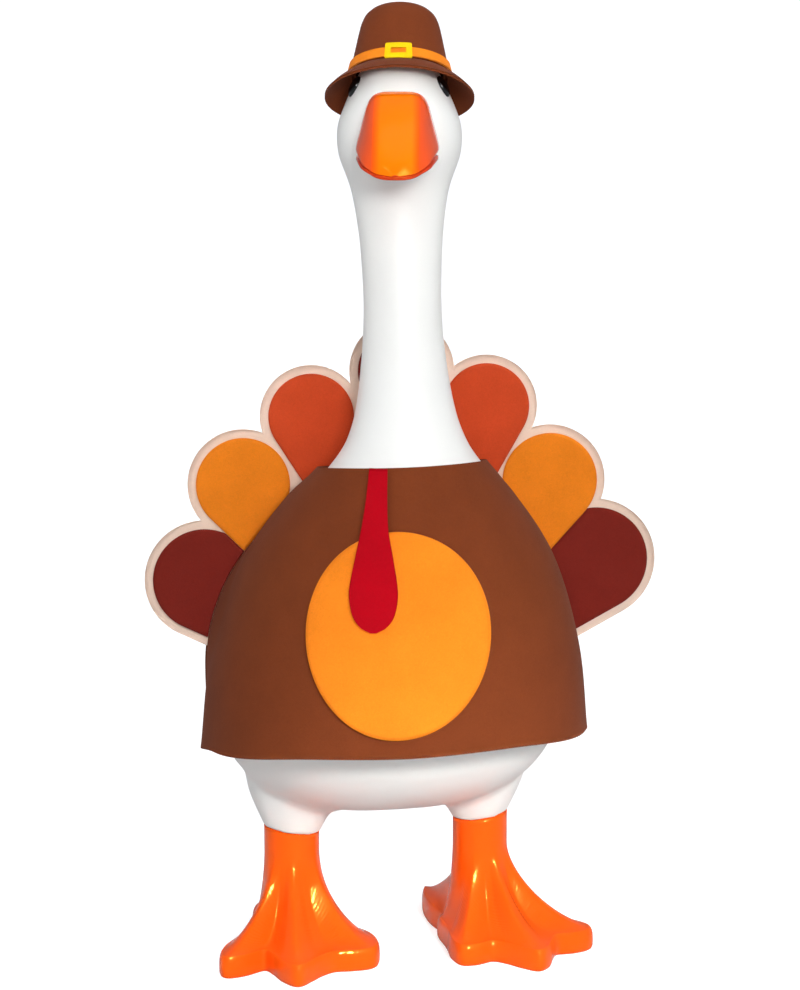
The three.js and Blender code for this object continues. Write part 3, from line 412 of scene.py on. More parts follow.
# %% Neck and head
neck_rise, neck_sink = 336, 60
neck_crowding = 0.8
head_width, head_length = 79, 87.5
collar_forward = 68
head_turn = math.radians(13.5)
turn_start_share, turn_end_share = 0.354, 0.771
neck_base = belly_height + torso_height - neck_sink
face_ahead = head_length / 2
neck_shares = [
    [0, 2.23, 1.27, 1.36, 0.93],
    [0.083, 2.0, 1.3, 1.34, 0.965],
    [0.143, 1.74, 1.27, 1.26, 0.985],
    [0.187, 1.48, 1.2, 1.16, 0.995],
    [0.229, 1.18, 1.08, 1.04, 1],
    [0.259, 1.0, 0.93, 0.91, 0.99],
    [0.286, 0.9, 0.83, 0.82, 0.97],
    [0.315, 0.82, 0.765, 0.755, 0.94],
    [0.372, 0.73, 0.68, 0.68, 0.89],
    [0.455, 0.65, 0.61, 0.61, 0.83],
    [0.53, 0.625, 0.6, 0.6, 0.795],
    [0.631, 0.66, 0.625, 0.625, 0.74],
    [0.685, 0.71, 0.66, 0.66, 0.705],
    [0.735, 0.785, 0.73, 0.71, 0.68],
    [0.765, 0.87, 0.845, 0.8, 0.67],
    [0.793, 0.96, 0.95, 0.88, 0.665],
    [0.821, 0.998, 1.0, 0.94, 0.663],
    [0.85, 0.99, 1.02, 0.97, 0.663],
    [0.877, 0.92, 0.985, 0.93, 0.663],
    [0.909, 0.805, 0.88, 0.8, 0.663],
    [0.938, 0.69, 0.74, 0.65, 0.663],
    [0.96, 0.575, 0.58, 0.5, 0.663],
    [0.978, 0.43, 0.42, 0.36, 0.663],
    [0.992, 0.24, 0.235, 0.2, 0.663],
    [1, 0.02, 0.02, 0.02, 0.663],
]
head_forward = collar_forward * neck_shares[-1][4]


def neck_section(height, growth=0.0):
    """Half width, front, back, distance ahead and turn at a height; the turn eases in as 3t^2 - 2t^3."""
    rise = np.clip((height - neck_base) / (neck_rise + growth), 0, 1)
    table = read_table(neck_shares, rise)
    part = np.clip((rise - turn_start_share) / (turn_end_share - turn_start_share), 0, 1)
    turning = head_turn * part ** 2 * (3 - 2 * part)
    half = head_width / 2 * table[..., 0] + growth
    front, back = (face_ahead * table[..., column] + growth for column in (1, 2))
    return half, front, back, collar_forward * table[..., 3], turning


def neck_rings(levels, columns, growth=0.0):
    """Ovals up the neck, closer together near the crown, turned about the neck's own axis."""
    height = neck_base + (neck_rise + growth) * np.sin(np.pi / 2 * evenly(levels) ** neck_crowding)[:, None]
    half, front, back, forward, turning = neck_section(height, growth)
    turn = full_turn(columns)[None, :]
    across = half * np.cos(turn)
    ahead = np.where(np.sin(turn) > 0, front, back) * np.sin(turn)
    x = across * np.cos(turning) - ahead * np.sin(turning)
    y = -forward - across * np.sin(turning) - ahead * np.cos(turning)
    return np.stack([x, y, height + 0 * turn], -1)


neck = neck_rings(150, 110)
print("neck and head:", np.ptp(neck, (0, 1)).round(1), "mm across, along and up")

# %% [markdown]
# A thigh is a short cone that leans in on its way up. It ends below in a slanted plane, where the
# leg meets it, and runs out of sight inside the torso above.

# %% Thighs
leg_height, left_joint_lower, ankle_spacing, ankle_radius = 89, 4.5, 128.5, 18.4
thigh_height, thigh_radius, thigh_inward = 60, 44, 12
ankle_slant = math.radians(8.5)
right_ahead = 5
fit_gap = 0.3
thigh_shares = [
    [0, 0, 0],
    [0.2, 0.25, 0.05],
    [0.4, 0.5, 0.2],
    [0.68, 0.78, 0.6],
    [1, 1, 1],
]


def ankle_place(side):
    """The ankle's axis on the ground plan; the right foot stands a little ahead."""
    return side * ankle_spacing / 2, -right_ahead if side > 0 else 0


def joint_height(side, across):
    """The paint line between leg and thigh rises outwards, and is lower on the left leg."""
    return leg_height - left_joint_lower * (side < 0) + side * across * math.tan(ankle_slant)


def thigh_rings(side, levels, columns):
    """Circles that grow and lean inwards on their way up into the torso."""
    across, back = ankle_place(side)
    step = evenly(levels)[:, None]
    table = read_table(thigh_shares, step)
    radius = ankle_radius + fit_gap + (thigh_radius - ankle_radius) * table[..., 0]
    middle = across - side * thigh_inward * table[..., 1]
    turn = full_turn(columns)[None, :]
    foot = joint_height(side, radius * np.cos(turn))
    height = foot + (leg_height + thigh_height - foot) * step
    return np.stack([middle + radius * np.cos(turn), back + radius * np.sin(turn), height], -1)


sides = (-1, 1)
thighs = [thigh_rings(side, 30, 60) for side in sides]
print("thighs start at", [rings[..., 2].min().round(1) for rings in thighs], "mm")

# %% [markdown]
# The four surfaces overlap, so the weld first puts them into one mesh. The remesh then wraps one
# skin round all of it, in cells small enough for the fillets.

# %% Welding the shell
shell_voxel = 0.0022


def joined(surfaces):
    """Several surfaces as one list of points and one of faces."""
    points, faces, count = [], [], 0
    for part_points, part_faces in surfaces:
        points.append(part_points)
        faces.append(part_faces + count)
        count += len(part_points)
    return np.concatenate(points), np.concatenate(faces)


def settle(piece):
    """Applies all modifiers, so that the finished mesh is what rides."""
    graph = bpy.context.evaluated_depsgraph_get()
    mesh = bpy.data.meshes.new_from_object(piece.evaluated_get(graph))
    piece.modifiers.clear()
    piece.data = mesh
    return piece


def cut_away(piece, cutter):
    """Takes the volume of the cutter out of a piece."""
    opening = piece.modifiers.new("opening", "BOOLEAN")
    opening.operation, opening.solver, opening.object = "DIFFERENCE", "EXACT", cutter
    return settle(piece)


def mesh_points(piece):
    """All the points of a piece, in metres."""
    points = np.zeros(len(piece.data.vertices) * 3)
    piece.data.vertices.foreach_get("co", points)
    return points.reshape(-1, 3)


def goose_points():
    """The shell's points in the goose's own millimetres."""
    return (mesh_points(goose_shell) - shift) / MILLIMETRE


surfaces = [tube_surface(rings) for rings in (torso, neck, *thighs)]
goose_shell = make_piece("goose_shell", *joined(surfaces))
weld = goose_shell.modifiers.new("weld", "REMESH")
weld.mode, weld.voxel_size, weld.use_smooth_shade = "VOXEL", shell_voxel, True
settle(goose_shell)
points = goose_points()
print("welded shell:", len(points), "points,", points[:, 2].max().round(1), "mm tall")

# %% [markdown]
# Smoothing alone would fill the creases but also wear down the thighs. So a point only moves by the
# part of its smoothed step that leads outwards: creases fill up to soft fillets, and what bulges
# stays. The weight lies under the belly round each thigh, and where the neck rises out of the
# shoulders. Then everything gets a few light rounds, just enough to take away the steps that the
# voxels leave. The ends of the thighs stay as they are, because the legs meet them there.

# %% Where the fillets lie
def near(distance, reach):
    """3t^2 - 2t^3 of t = 1 - distance/reach: a weight of 1 at no distance, and of 0 past the reach."""
    share = np.clip(1 - distance / reach, 0, 1)
    return share * share * (3 - 2 * share)


def above_joint(points, fade):
    """(height above the joint - margin) / fade: 0 at the thighs' ends, and 1 from the fade upwards."""
    x = points[:, 0]
    side = np.sign(x)
    joint = joint_height(side, x - side * ankle_spacing / 2)
    return np.clip((points[:, 2] - joint - joint_margin) / fade, 0, 1)


joint_margin, fillet_fade, skin_fade = 1, 8, 4
seam_height, seam_band, neck_band, neck_spread = 112, 52, 50, 120
fillet_reach, fillet_ring_share = 60, 0.8
x, y, z = points.T
from_thighs = np.min([np.hypot(x - across, y - back) for across, back in map(ankle_place, sides)], 0)
off_ring = np.abs(from_thighs - thigh_radius * fillet_ring_share)
by_thighs = near(off_ring, fillet_reach) * near(np.abs(z - seam_height), seam_band)
by_thighs *= above_joint(points, fillet_fade)
neck_seam = belly_height + torso_height
by_neck = near(np.abs(z - neck_seam), neck_band) * near(np.abs(y + collar_forward), neck_spread)
weights = np.clip(2 * np.maximum(by_thighs, by_neck), 0, 1)
print("points in the fillets:", int((weights > 0).sum()), "of", len(weights))


# %% Smoothing by weight
softness_steps = 20


def weighted_smooth(piece, weights, rounds):
    """Smooths a piece in proportion to a weight for each of its points, in twenty steps of weight."""
    group = piece.vertex_groups.new(name="softness")
    steps = np.round(np.clip(weights, 0, 1) * softness_steps).astype(int)
    for step in range(1, softness_steps + 1):
        group.add(np.nonzero(steps == step)[0].tolist(), step / softness_steps, "REPLACE")
    smooth = piece.modifiers.new("smooth", "SMOOTH")
    smooth.factor, smooth.iterations, smooth.vertex_group = 0.5, rounds, group.name
    settle(piece)
    piece.vertex_groups.clear()


def fill_creases(piece, weights, rounds):
    """New place = old + normal * max(0, step . normal), where the step is the smoothed one."""
    start = mesh_points(piece)
    normals = np.zeros(start.size)
    piece.data.vertices.foreach_get("normal", normals)
    normals = normals.reshape(-1, 3)
    weighted_smooth(piece, weights, rounds)
    gain = np.maximum(((mesh_points(piece) - start) * normals).sum(1), 0)
    piece.data.vertices.foreach_set("co", (start + normals * gain[:, None]).ravel())
    piece.data.update()
    return gain


fillet_rounds, skin_rounds = 420, 14
filled = fill_creases(goose_shell, weights, fillet_rounds)
print("fillets are up to", round(filled.max() / MILLIMETRE, 1), "mm deep")
weighted_smooth(goose_shell, above_joint(goose_points(), skin_fade), skin_rounds)

# %% [markdown]
# Under the rump the shell has its filling mouth: a wide shallow seat for the plug's flange, and a
# narrower hole above it. A stepped profile turned round the mouth's axis is cut out of the shell.

# %% Mouth for the plug
flange_radius, flange_thickness, plug_radius, axis_hole = 19, 3, 14, 0.01
plug_foot, plug_head = plug_low.z / MILLIMETRE, plug_high.z / MILLIMETRE
seat = plug_foot + flange_thickness + fit_gap
mouth_profile = [
    [axis_hole, plug_foot - flange_radius],
    [flange_radius + fit_gap, plug_foot - flange_radius],
    [flange_radius + fit_gap, seat],
    [plug_radius + fit_gap, seat],
    [plug_radius + fit_gap, plug_head + fit_gap],
    [axis_hole, plug_head + fit_gap],
]
radius, height = np.array(mouth_profile).T[:, :, None]
turn = full_turn(64)[None, :]
rings = np.stack([radius * np.cos(turn), plug_back + radius * np.sin(turn), height + 0 * turn], -1)
mouth = make_piece("plug_mouth", *tube_surface(rings))
cut_away(goose_shell, mouth)
bpy.data.objects.remove(mouth)
dress(goose_shell, white_plastic, nodes=["body_shell"])
print("shell with its mouth:", len(goose_shell.data.vertices), "points")

# %% [markdown]
# ## Legs and webbed feet
# Each leg is painted in a glossy red-orange. Toes and webs could be modelled one by one, but on the
# mould they are one skin, so the foot is a single surface round the ankle. A table in degrees
# outwards from the middle toe says how far the foot reaches and how much of a toe's ridge, rather
# than of a web, runs there. The two feet aren't alike, because the goose stands with its weight on
# one of them. The rim is a rounded edge, and its table gives shares of its height and of its inset.

# %% Outline of the feet
foot_reach, foot_edge, rim_inset = 83, 15, 2.5
left_splay, right_splay = math.radians(6.5), math.radians(16.5)
left_foot_shares = [
    [-180, 0.92, 1],
    [-165, 0.8, 0.9],
    [-145, 0.5, 0.6],
    [-115, 0.4, 0.5],
    [-90, 0.5, 0.5],
    [-70, 0.7, 0.65],
    [-58, 0.8, 0.9],
    [-48, 0.84, 1],
    [-38, 0.77, 0.5],
    [-27, 0.7, 0],
    [-16, 0.74, 0.2],
    [-8, 0.83, 0.8],
    [0, 0.93, 1],
    [8, 0.82, 0.8],
    [16, 0.67, 0.2],
    [26, 0.6, 0],
    [34, 0.79, 0.6],
    [40, 0.88, 1],
    [46, 0.84, 0.9],
    [54, 0.71, 0.7],
    [64, 0.55, 0.5],
    [80, 0.42, 0.5],
    [105, 0.38, 0.5],
    [135, 0.44, 0.6],
    [160, 0.74, 0.9],
    [180, 0.92, 1],
]
right_foot_shares = [
    [-180, 0.95, 1],
    [-163, 0.61, 0.9],
    [-142, 0.37, 0.6],
    [-115, 0.35, 0.5],
    [-85, 0.37, 0.5],
    [-65, 0.46, 0.5],
    [-52, 0.61, 0.7],
    [-42, 0.72, 1],
    [-33, 0.7, 0.6],
    [-20, 0.62, 0],
    [-11, 0.7, 0.3],
    [-5, 0.84, 0.8],
    [0, 0.95, 1],
    [7, 0.92, 0.9],
    [16, 0.82, 0.3],
    [26, 0.77, 0],
    [34, 0.87, 0.6],
    [42, 0.95, 1],
    [49, 0.93, 0.9],
    [57, 0.78, 0.7],
    [67, 0.59, 0.5],
    [82, 0.46, 0.5],
    [105, 0.4, 0.5],
    [135, 0.42, 0.6],
    [160, 0.7, 0.9],
    [180, 0.95, 1],
]
edge_shares = [
    [0, 0.9],
    [0.05, 0.4],
    [0.17, 0.1],
    [0.4, 0.05],
    [0.7, 0.15],
    [0.84, 0.35],
    [0.93, 0.62],
    [0.98, 0.85],
]

print("rows round the left and the right foot:", len(left_foot_shares), len(right_foot_shares))

# %% [markdown]
# From the rim the foot flares up to the ankle. A ridge falls away slowly from the instep, and a web
# hangs low between the toes: both rise as a power of the way in, with a lower power on the ridge.
# Fine grooves run across the webs beside the ridges, as on a real goose. They fade out towards the
# rim and the ankle.

# %% Flare of the feet
flare_height, flare_power = 53, 1.5
ridge_power, web_power = 1.4, 1.95
groove_depth, groove_count, groove_slant, groove_limit = 0.5, 24, 7, 62
groove_ridge_share, groove_width_share, groove_rise_share = 0.45, 0.5, 0.2
groove_crowding, groove_gain, groove_start = 0.8, 1.5, 0.4


def foot_rim(side, turn):
    """How far the foot reaches at each angle round the ankle, and how much of a ridge runs there."""
    outwards = np.degrees(side * np.where(turn > np.pi, turn - math.tau, turn))
    rows = left_foot_shares if side < 0 else right_foot_shares
    reach = foot_reach * read_table(rows, outwards)[:, 0]
    angles, _, ridges = np.transpose(rows)
    return reach, np.interp(outwards, angles, ridges), np.abs(outwards)


def groove_relief(out, web, outwards):
    """depth * web * sine of (count*out + degrees/slant) turns, cut off a little above its middle."""
    wave = np.sin(math.tau * (groove_count * out + outwards / groove_slant))
    within = np.clip(np.sin(np.pi * out ** groove_crowding) * groove_gain - groove_start, 0, 1)
    return groove_depth * web * np.maximum(wave, -groove_rise_share) * within


def leg_rings(side, splay, columns, slopes, shanks):
    """The rim from the sole up, then the flare to the ankle, then the shank to the slanted joint.

    On the flare, (1 - share)^flare_power carries a point from the rim to the ankle, and the height
    grows as share^power, with a low power along a ridge and a high one along a web.
    """
    middle, back = ankle_place(side)
    turn = full_turn(columns)
    reach, ridge, outwards = foot_rim(side, turn)
    heading = turn + side * splay
    rows = [(reach - rim_inset * inset, foot_edge * share + 0 * turn) for share, inset in edge_shares]
    power = web_power + (ridge_power - web_power) * ridge
    web = np.clip(1 - np.abs(ridge - groove_ridge_share) / groove_width_share, 0, 1)
    web *= outwards < groove_limit
    for share in evenly(slopes):
        out = (1 - share) ** flare_power
        radius = ankle_radius + (reach - rim_inset - ankle_radius) * out
        height = foot_edge + flare_height * share ** power
        rows.append((radius, height - groove_relief(out, web, outwards)))
    radius = ankle_radius + 0 * turn
    across = radius * np.sin(heading)
    low, high = foot_edge + flare_height, joint_height(side, across) - fit_gap
    rows += [(radius, low + (high - low) * share) for share in evenly(shanks)[1:]]
    return np.stack([
        np.stack([middle + out * np.sin(heading), back - out * np.cos(heading), height], -1)
        for out, height in rows
    ])


for side, splay, name in ((-1, left_splay, "leg_left"), (1, right_splay, "leg_right")):
    rings = leg_rings(side, splay, 420, 130, 8)
    leg = make_piece(f"webbed_{name}", *tube_surface(rings))
    dress(leg, orange_plastic, nodes=[name])
    print(name, np.ptp(rings, (0, 1)).round(1), "mm across, along and up")

# %% [markdown]
# ## Bill
# The bill is two halves with the mouth line between them. The upper half has a flat bridge on top
# and sides that slope out to the mouth line, and the lower one shows as a thin darker rim. Each is
# a row of sections from inside the head to the tip, closer together where the bill rounds off. The
# table gives the shares of the width at the mouth line and at the ridge, and of the depth at which
# the section's top and bottom lie.

# %% Bill sections
bill_length, bill_width, bill_depth = 52, 56, 39
bill_top_share, bill_root_share = 0.911, 0.55
bill_top = neck_base + neck_rise * bill_top_share
bill_power, mouth_power, lip_power = 4.4, 9, 2.4
bill_shares = [
    [0, 0.955, 0.61, 0, 0.96],
    [0.18, 0.95, 0.59, 0.08, 0.98],
    [0.4, 0.905, 0.55, 0.27, 1.02],
    [0.6, 0.84, 0.51, 0.5, 1.075],
    [0.78, 0.755, 0.45, 0.76, 1.15],
    [0.9, 0.61, 0.37, 0.96, 1.22],
    [0.97, 0.41, 0.25, 1.12, 1.28],
    [1, 0.1, 0.07, 1.26, 1.31],
]
lip_shares = [
    [0, 0.12, 0.93],
    [0.4, 0.1, 0.945],
    [0.6, 0.085, 0.96],
    [0.78, 0.075, 0.96],
    [0.9, 0.08, 0.91],
    [0.97, 0.08, 0.88],
    [1, 0.04, 0.85],
]


def in_head_frame(points):
    """Turns points with the head and stands them on its axis."""
    x, y, z = np.moveaxis(points, -1, 0)
    sine, cosine = math.sin(head_turn), math.cos(head_turn)
    return np.stack([x * cosine + y * sine, -x * sine + y * cosine - head_forward, z], -1)


def bill_rings(columns, steps, lower):
    """Sections from inside the head to the tip, which close in along a quarter sine.

    The upper bill is boxy on top, sharp at the mouth line, and leans in from there to its ridge. The
    lower one is thin and lies flat against it, with a round underside.
    """
    turn = full_turn(columns)[None, :]
    share = np.sin(np.pi / 2 * evenly(steps))[:, None]
    table = read_table(bill_shares, share)
    mouth, ridge = (bill_width / 2 * table[..., column] for column in (0, 1))
    top, bottom = (bill_top - bill_depth * table[..., column] for column in (2, 3))
    if lower:
        lip = read_table(lip_shares, share)
        deep = bill_depth * lip[..., 0] / 2
        power = np.where(np.sin(turn) > 0, mouth_power, lip_power)
        x = mouth * lip[..., 1] * rounded(np.cos(turn), power)
        z = bottom - fit_gap - deep + deep * rounded(np.sin(turn), power)
    else:
        power = np.where(np.sin(turn) < 0, mouth_power, bill_power)
        up = (rounded(np.sin(turn), power) + 1) / 2
        x = (mouth + (ridge - mouth) * up) * rounded(np.cos(turn), power)
        z = bottom + (top - bottom) * up
    y = -face_ahead - bill_length * share + 0 * turn
    rings = np.stack([x, y, z], -1)
    root = rings[:1].copy()
    root[..., 1] = -face_ahead * bill_root_share
    return np.concatenate([root, rings])


upper_rings, lower_rings = bill_rings(128, 90, False), bill_rings(64, 48, True)
print("bill:", np.ptp(upper_rings, (0, 1)).round(1), "mm across, along and up")

# %% [markdown]
# The bill's colours: painted shade as a dark line along the mouth, where the halves meet, then red
# sides, and an orange band along the bridge with redder edges. The colour follows the surface, so
# each point carries a number from 0 at the mouth line to 1 on the bridge, and the material reads
# that attribute through a ramp of colours.

# %% Bill paint and painted shade
paint_scale, paint_wave = 60, 0.0002
bridge_half, bridge_fade = 13.5, 8
# How thin the line of painted shade along the mouth is: the colour climbs out of it this steeply.
mouth_sharpness = 16


def bill_finish(bridge_code, edge_code, side_code, mouth_shade_code):
    """The bridge's colour on top, redder by its edges, the sides' below, painted shade along the mouth."""
    finish, tree, shader, add = start_finish("bill_paint_and_shade")
    shader.inputs["Roughness"].default_value = 0.13
    shader.inputs["Specular IOR Level"].default_value = 0.35
    shader.inputs["Specular Tint"].default_value = light_of(golden_gloss)
    height = add("ShaderNodeAttribute", attribute_name="bridge")
    ramp = add("ShaderNodeValToRGB")
    stops = ramp.color_ramp.elements
    # The first stop is painted shade: the dark line where upper and lower bill meet.
    stops[0].position, stops[0].color = 0.0, light_of(mouth_shade_code)
    stops[1].position, stops[1].color = 1.0, light_of(bridge_code)
    for at, code in ((0.1, side_code), (0.68, side_code), (0.74, edge_code)):
        stop = stops.new(at)
        stop.color = light_of(code)
    tree.links.new(height.outputs["Fac"], ramp.inputs["Fac"])
    tree.links.new(ramp.outputs["Color"], shader.inputs["Base Color"])
    raise_by(tree, add, shader, noise(tree, add, paint_scale, Detail=2), paint_wave)
    return finish


def paint_and_shade_share(rings):
    """(up + up*band)/2: 0 on the mouth line's painted shade, a half on the sides, 1 on the bridge's band.
    """
    x, z = rings[..., 0], rings[..., 2]
    low, high = (limit(z, axis=1)[:, None] for limit in (np.min, np.max))
    up = np.clip((z - low) / (high - low) * mouth_sharpness, 0, 1)
    band = np.clip((bridge_half - np.abs(x)) / bridge_fade + 0.5, 0, 1)
    return (up + up * band) / 2


points, faces = tube_surface(upper_rings)
bill_upper = make_piece("bill_top_half", in_head_frame(points), faces)
shares = np.append(paint_and_shade_share(upper_rings), [1, 1]).astype(np.float32)
attribute = bill_upper.data.attributes.new("bridge", "FLOAT", "POINT")
attribute.data.foreach_set("value", shares)
# The last code, b02c12, is painted shade for the gap along the mouth line.
bill_paint_and_shade = bill_finish("ff7a06", "fa5a12", "ee5526", "b02c12")
dress(bill_upper, bill_paint_and_shade, nodes=["bill_upper"])
print("on the bridge's band:", round(float((shares > 0.99).mean()), 2), "of the bill's points")

# %% Lower half of the bill
points, faces = tube_surface(lower_rings)
bill_lower = make_piece("bill_lower_half", in_head_frame(points), faces)
dress(bill_lower, lip_plastic, nodes=["bill_lower"])
print("lower half:", np.ptp(lower_rings, (0, 1)).round(1), "mm across, along and up")

# %% [markdown]
# ## Eyes
# Each eye is a slanted, glossy black lens set into the side of the head, half under the brim. It is
# an ellipsoid, leaned and then turned until it lies flat on the oval of the head, so that half of
# it stands out like the lens that is pushed into the real one.

# %% Eyes
eye_height_share = 0.9226
eye_height = neck_base + neck_rise * eye_height_share
eye_size = np.array([6, 9.5, 14])
eye_ahead, eye_lean = 14, math.radians(24)


def turned(points, axis, angle):
    """a*cos - b*sin and a*sin + b*cos, for the two coordinates a and b across the axis of the turn."""
    first, second = [(1, 2), (2, 0), (0, 1)][axis]
    result = points.copy()
    result[..., first] = points[..., first] * math.cos(angle) - points[..., second] * math.sin(angle)
    result[..., second] = points[..., first] * math.sin(angle) + points[..., second] * math.cos(angle)
    return result


def eye_rings(side, levels, columns):
    """An ellipsoid, leaned and turned to lie flat on the side of the head."""
    rise = np.pi * evenly(levels)[1:-1, None]
    turn = full_turn(columns)[None, :]
    wide = np.sin(rise)
    lens = np.stack([wide * np.cos(turn), wide * np.sin(turn), np.cos(rise) + 0 * turn], -1)
    half, front, *_ = neck_section(np.array(eye_height))
    across = half * math.sqrt(1 - (eye_ahead / front) ** 2)
    facing = side * math.atan2(eye_ahead / front ** 2, across / half ** 2)
    lens = lens * eye_size / 2
    for axis, angle in ((0, eye_lean / 2), (1, -side * eye_lean), (2, -facing)):
        lens = turned(lens, axis, angle)
    return in_head_frame(lens + np.array([side * across, -eye_ahead, eye_height]))


for side, name in ((-1, "eye_left"), (1, "eye_right")):
    rings = eye_rings(side, 32, 48)
    eye = make_piece(f"black_{name}", *tube_surface(rings))
    dress(eye, eye_plastic, nodes=[name])
    print(name, "at", rings.mean((0, 1)).round(1))

# %% [markdown]
# ## Hat
# The hat is felt, formed over a block: a crown that tapers to a soft dome, a brim that droops, an
# orange band and a yellow buckle cut from flat felt. Each is a profile turned round the hat's own
# axis, which leans back on the head. Where the hat sits on the head, the head's room is cut out of
# it, a little larger than the head, because real felt would be squashed there.

# %% The hat's frame
hat_height_share = 0.9435
hat_height = neck_base + neck_rise * hat_height_share
hat_tilt, hat_back = math.radians(20), 7.3
crown_radius, crown_height, hat_felt = 32, 46, 1.8
hat_columns = 128
crown_shares = [
    [0, 1],
    [0.16, 0.945],
    [0.4, 0.875],
    [0.62, 0.81],
    [0.76, 0.755],
    [0.87, 0.66],
    [0.95, 0.46],
    [1, 0],
]


def in_hat_frame(points):
    """Leans points back, sets them on the crown of the head and turns them with it."""
    x, y, z = np.moveaxis(points, -1, 0)
    sine, cosine = math.sin(hat_tilt), math.cos(hat_tilt)
    leaned = np.stack([x, y * cosine + z * sine + hat_back, -y * sine + z * cosine + hat_height], -1)
    return in_head_frame(leaned)


def crown_radius_at(height, inset=0.0):
    """(radius - inset) * the table's share at height/(crown height - inset), so a wall keeps its inset."""
    return (crown_radius - inset) * read_table(crown_shares, height / (crown_height - inset))[..., 0]


def round_grid(radius, height, columns):
    """A profile of radii and heights carried round the hat's axis, from the front."""
    turn = full_turn(columns)[None, :]
    radius, height = (np.asarray(values)[:, None] + 0 * turn for values in (radius, height))
    return np.stack([radius * np.sin(turn), -radius * np.cos(turn), height], -1)


head_room = make_piece("head_room", *tube_surface(neck_rings(90, 96, fit_gap)))
print("crown at its foot:", 2 * crown_radius, "mm wide, with a wall of", hat_felt)

# %% [markdown]
# The crown's profile runs from the top down its face to the rim and back up inside the wall. The
# rows lie closer together near the top, where the dome bends most.

# %% Crown
near_top_share = 0.9995
dome = near_top_share * np.cos(np.pi / 2 * evenly(70))
under = crown_height - hat_felt
outside = round_grid(crown_radius_at(crown_height * dome), crown_height * dome, hat_columns)
inside = round_grid(crown_radius_at(under * dome, hat_felt), under * dome, hat_columns)
crown = in_hat_frame(np.concatenate([outside, inside[::-1]]))
hat_crown = make_piece("felt_crown", *tube_surface(crown))
cut_away(hat_crown, head_room)
dress(hat_crown, brown_felt, "hat", ["hat_crown"])
print("crown:", len(hat_crown.data.vertices), "points")

# %% [markdown]
# The brim is a sheet that droops outwards from the crown's wall, and a little less right in front,
# so that the face shows. The table gives the share of the droop at each share of the width. It
# starts inside the wall, where brim and crown are sewn together.

# %% Brim
brim_width, brim_drop, brim_level_share = 15, 13, 0.15
brim_shares = [
    [-0.12, 0],
    [0, 0.02],
    [0.35, 0.3],
    [0.7, 0.64],
    [1, 1],
]


def brim_grid(sink):
    """Rows from the crown's wall out; height = -drop * share * (1 - level share * cosine^2 in front)."""
    out = np.linspace(brim_shares[0][0], 1, 26)[:, None]
    turn = full_turn(hat_columns)[None, :]
    drop = read_table(brim_shares, out)[..., 0]
    levelled = 1 - brim_level_share * np.maximum(np.cos(turn), 0) ** 2
    radius = crown_radius + brim_width * out + 0 * turn
    height = -fit_gap - brim_drop * levelled * drop - sink
    return np.stack([radius * np.sin(turn), -radius * np.cos(turn), height], -1)


brim_top, brim_under = (in_hat_frame(brim_grid(sink)) for sink in (0, hat_felt))
hat_brim = make_piece("felt_brim", *sheet_surface(brim_under, brim_top, wrap=True))
cut_away(hat_brim, head_room)
dress(hat_brim, brown_felt, "hat", ["hat_brim"])
print("brim:", np.ptp(brim_top, (0, 1)).round(1), "mm across, along and up")

# %% [markdown]
# The band lies round the foot of the crown, and the sweatband lines it inside. Both are strips that
# follow the crown's taper, so each is the crown's own radius plus or minus what lies between.

# %% Band and sweatband
band_height, band_thickness = 6.5, 1.2
sweatband_height, sweatband_thickness = 9, 2.2


def crown_strip(height, radii):
    """A strip of rows at the heights, as one grid for each list of radii."""
    return [in_hat_frame(round_grid(radius, height, hat_columns)) for radius in radii]


rise = fit_gap + band_height * evenly(8)
face_radius = crown_radius_at(rise) + fit_gap
band = crown_strip(rise, (face_radius, face_radius + band_thickness))
hat_band = make_piece("felt_band", *sheet_surface(*band, wrap=True))
dress(hat_band, band_felt, "hat", ["hat_band"])

rise = fit_gap + (sweatband_height - fit_gap) * evenly(6)
lining_radius = crown_radius_at(rise, hat_felt) - fit_gap
lining = crown_strip(rise, (lining_radius - sweatband_thickness, lining_radius))
hat_sweatband = make_piece("sweatband_strip", *sheet_surface(*lining, wrap=True))
cut_away(hat_sweatband, head_room)
bpy.data.objects.remove(head_room)
dress(hat_sweatband, brown_felt, "hat", ["hat_sweatband"])
print("band and sweatband stand", band_height, "and", sweatband_height, "mm high")

# %% [markdown]
# The buckle is a felt frame with a window, through which the band shows. Its outline is a rounded
# rectangle: a ring of points for the outer edge, another for the window, and a few between, all
# wrapped onto the crown's curve.

# %% Buckle
buckle_width, buckle_height, buckle_frame, buckle_thickness = 15.4, 10.8, 3.4, 1.6
buckle_power = 16
buckle_middle = fit_gap + band_height / 2


def buckle_grid(stand):
    """From the window's edge to the outer edge; x is wrapped round the crown as an arc length."""
    share = evenly(6)[:, None]
    turn = full_turn(96)[None, :]
    half_width = buckle_width / 2 - buckle_frame * (1 - share)
    half_height = buckle_height / 2 - buckle_frame * (1 - share)
    across = half_width * rounded(np.cos(turn), buckle_power)
    height = buckle_middle + half_height * rounded(np.sin(turn), buckle_power)
    radius = crown_radius_at(np.maximum(height, 0)) + band_thickness + 2 * fit_gap + stand
    angle = across / crown_radius_at(np.array(buckle_middle))
    return in_hat_frame(np.stack([radius * np.sin(angle), -radius * np.cos(angle), height], -1))


buckle = [buckle_grid(stand) for stand in (0, buckle_thickness)]
hat_buckle = make_piece("felt_buckle", *sheet_surface(*buckle, wrap=True))
dress(hat_buckle, yellow_felt, "hat", ["hat_buckle"])
print("buckle:", buckle_width, "by", buckle_height, "mm, with a window inside a frame of", buckle_frame)

# %% [markdown]
# ## Cape
# The cape is felt, stiff enough to fall in one smooth bell from the collar, so it needs no cloth
# simulation. Where the bell would cut into the goose, the cloth is pushed out until it lies on the
# plastic. For that, the torso and the neck each get a test that tells whether a point lies inside.

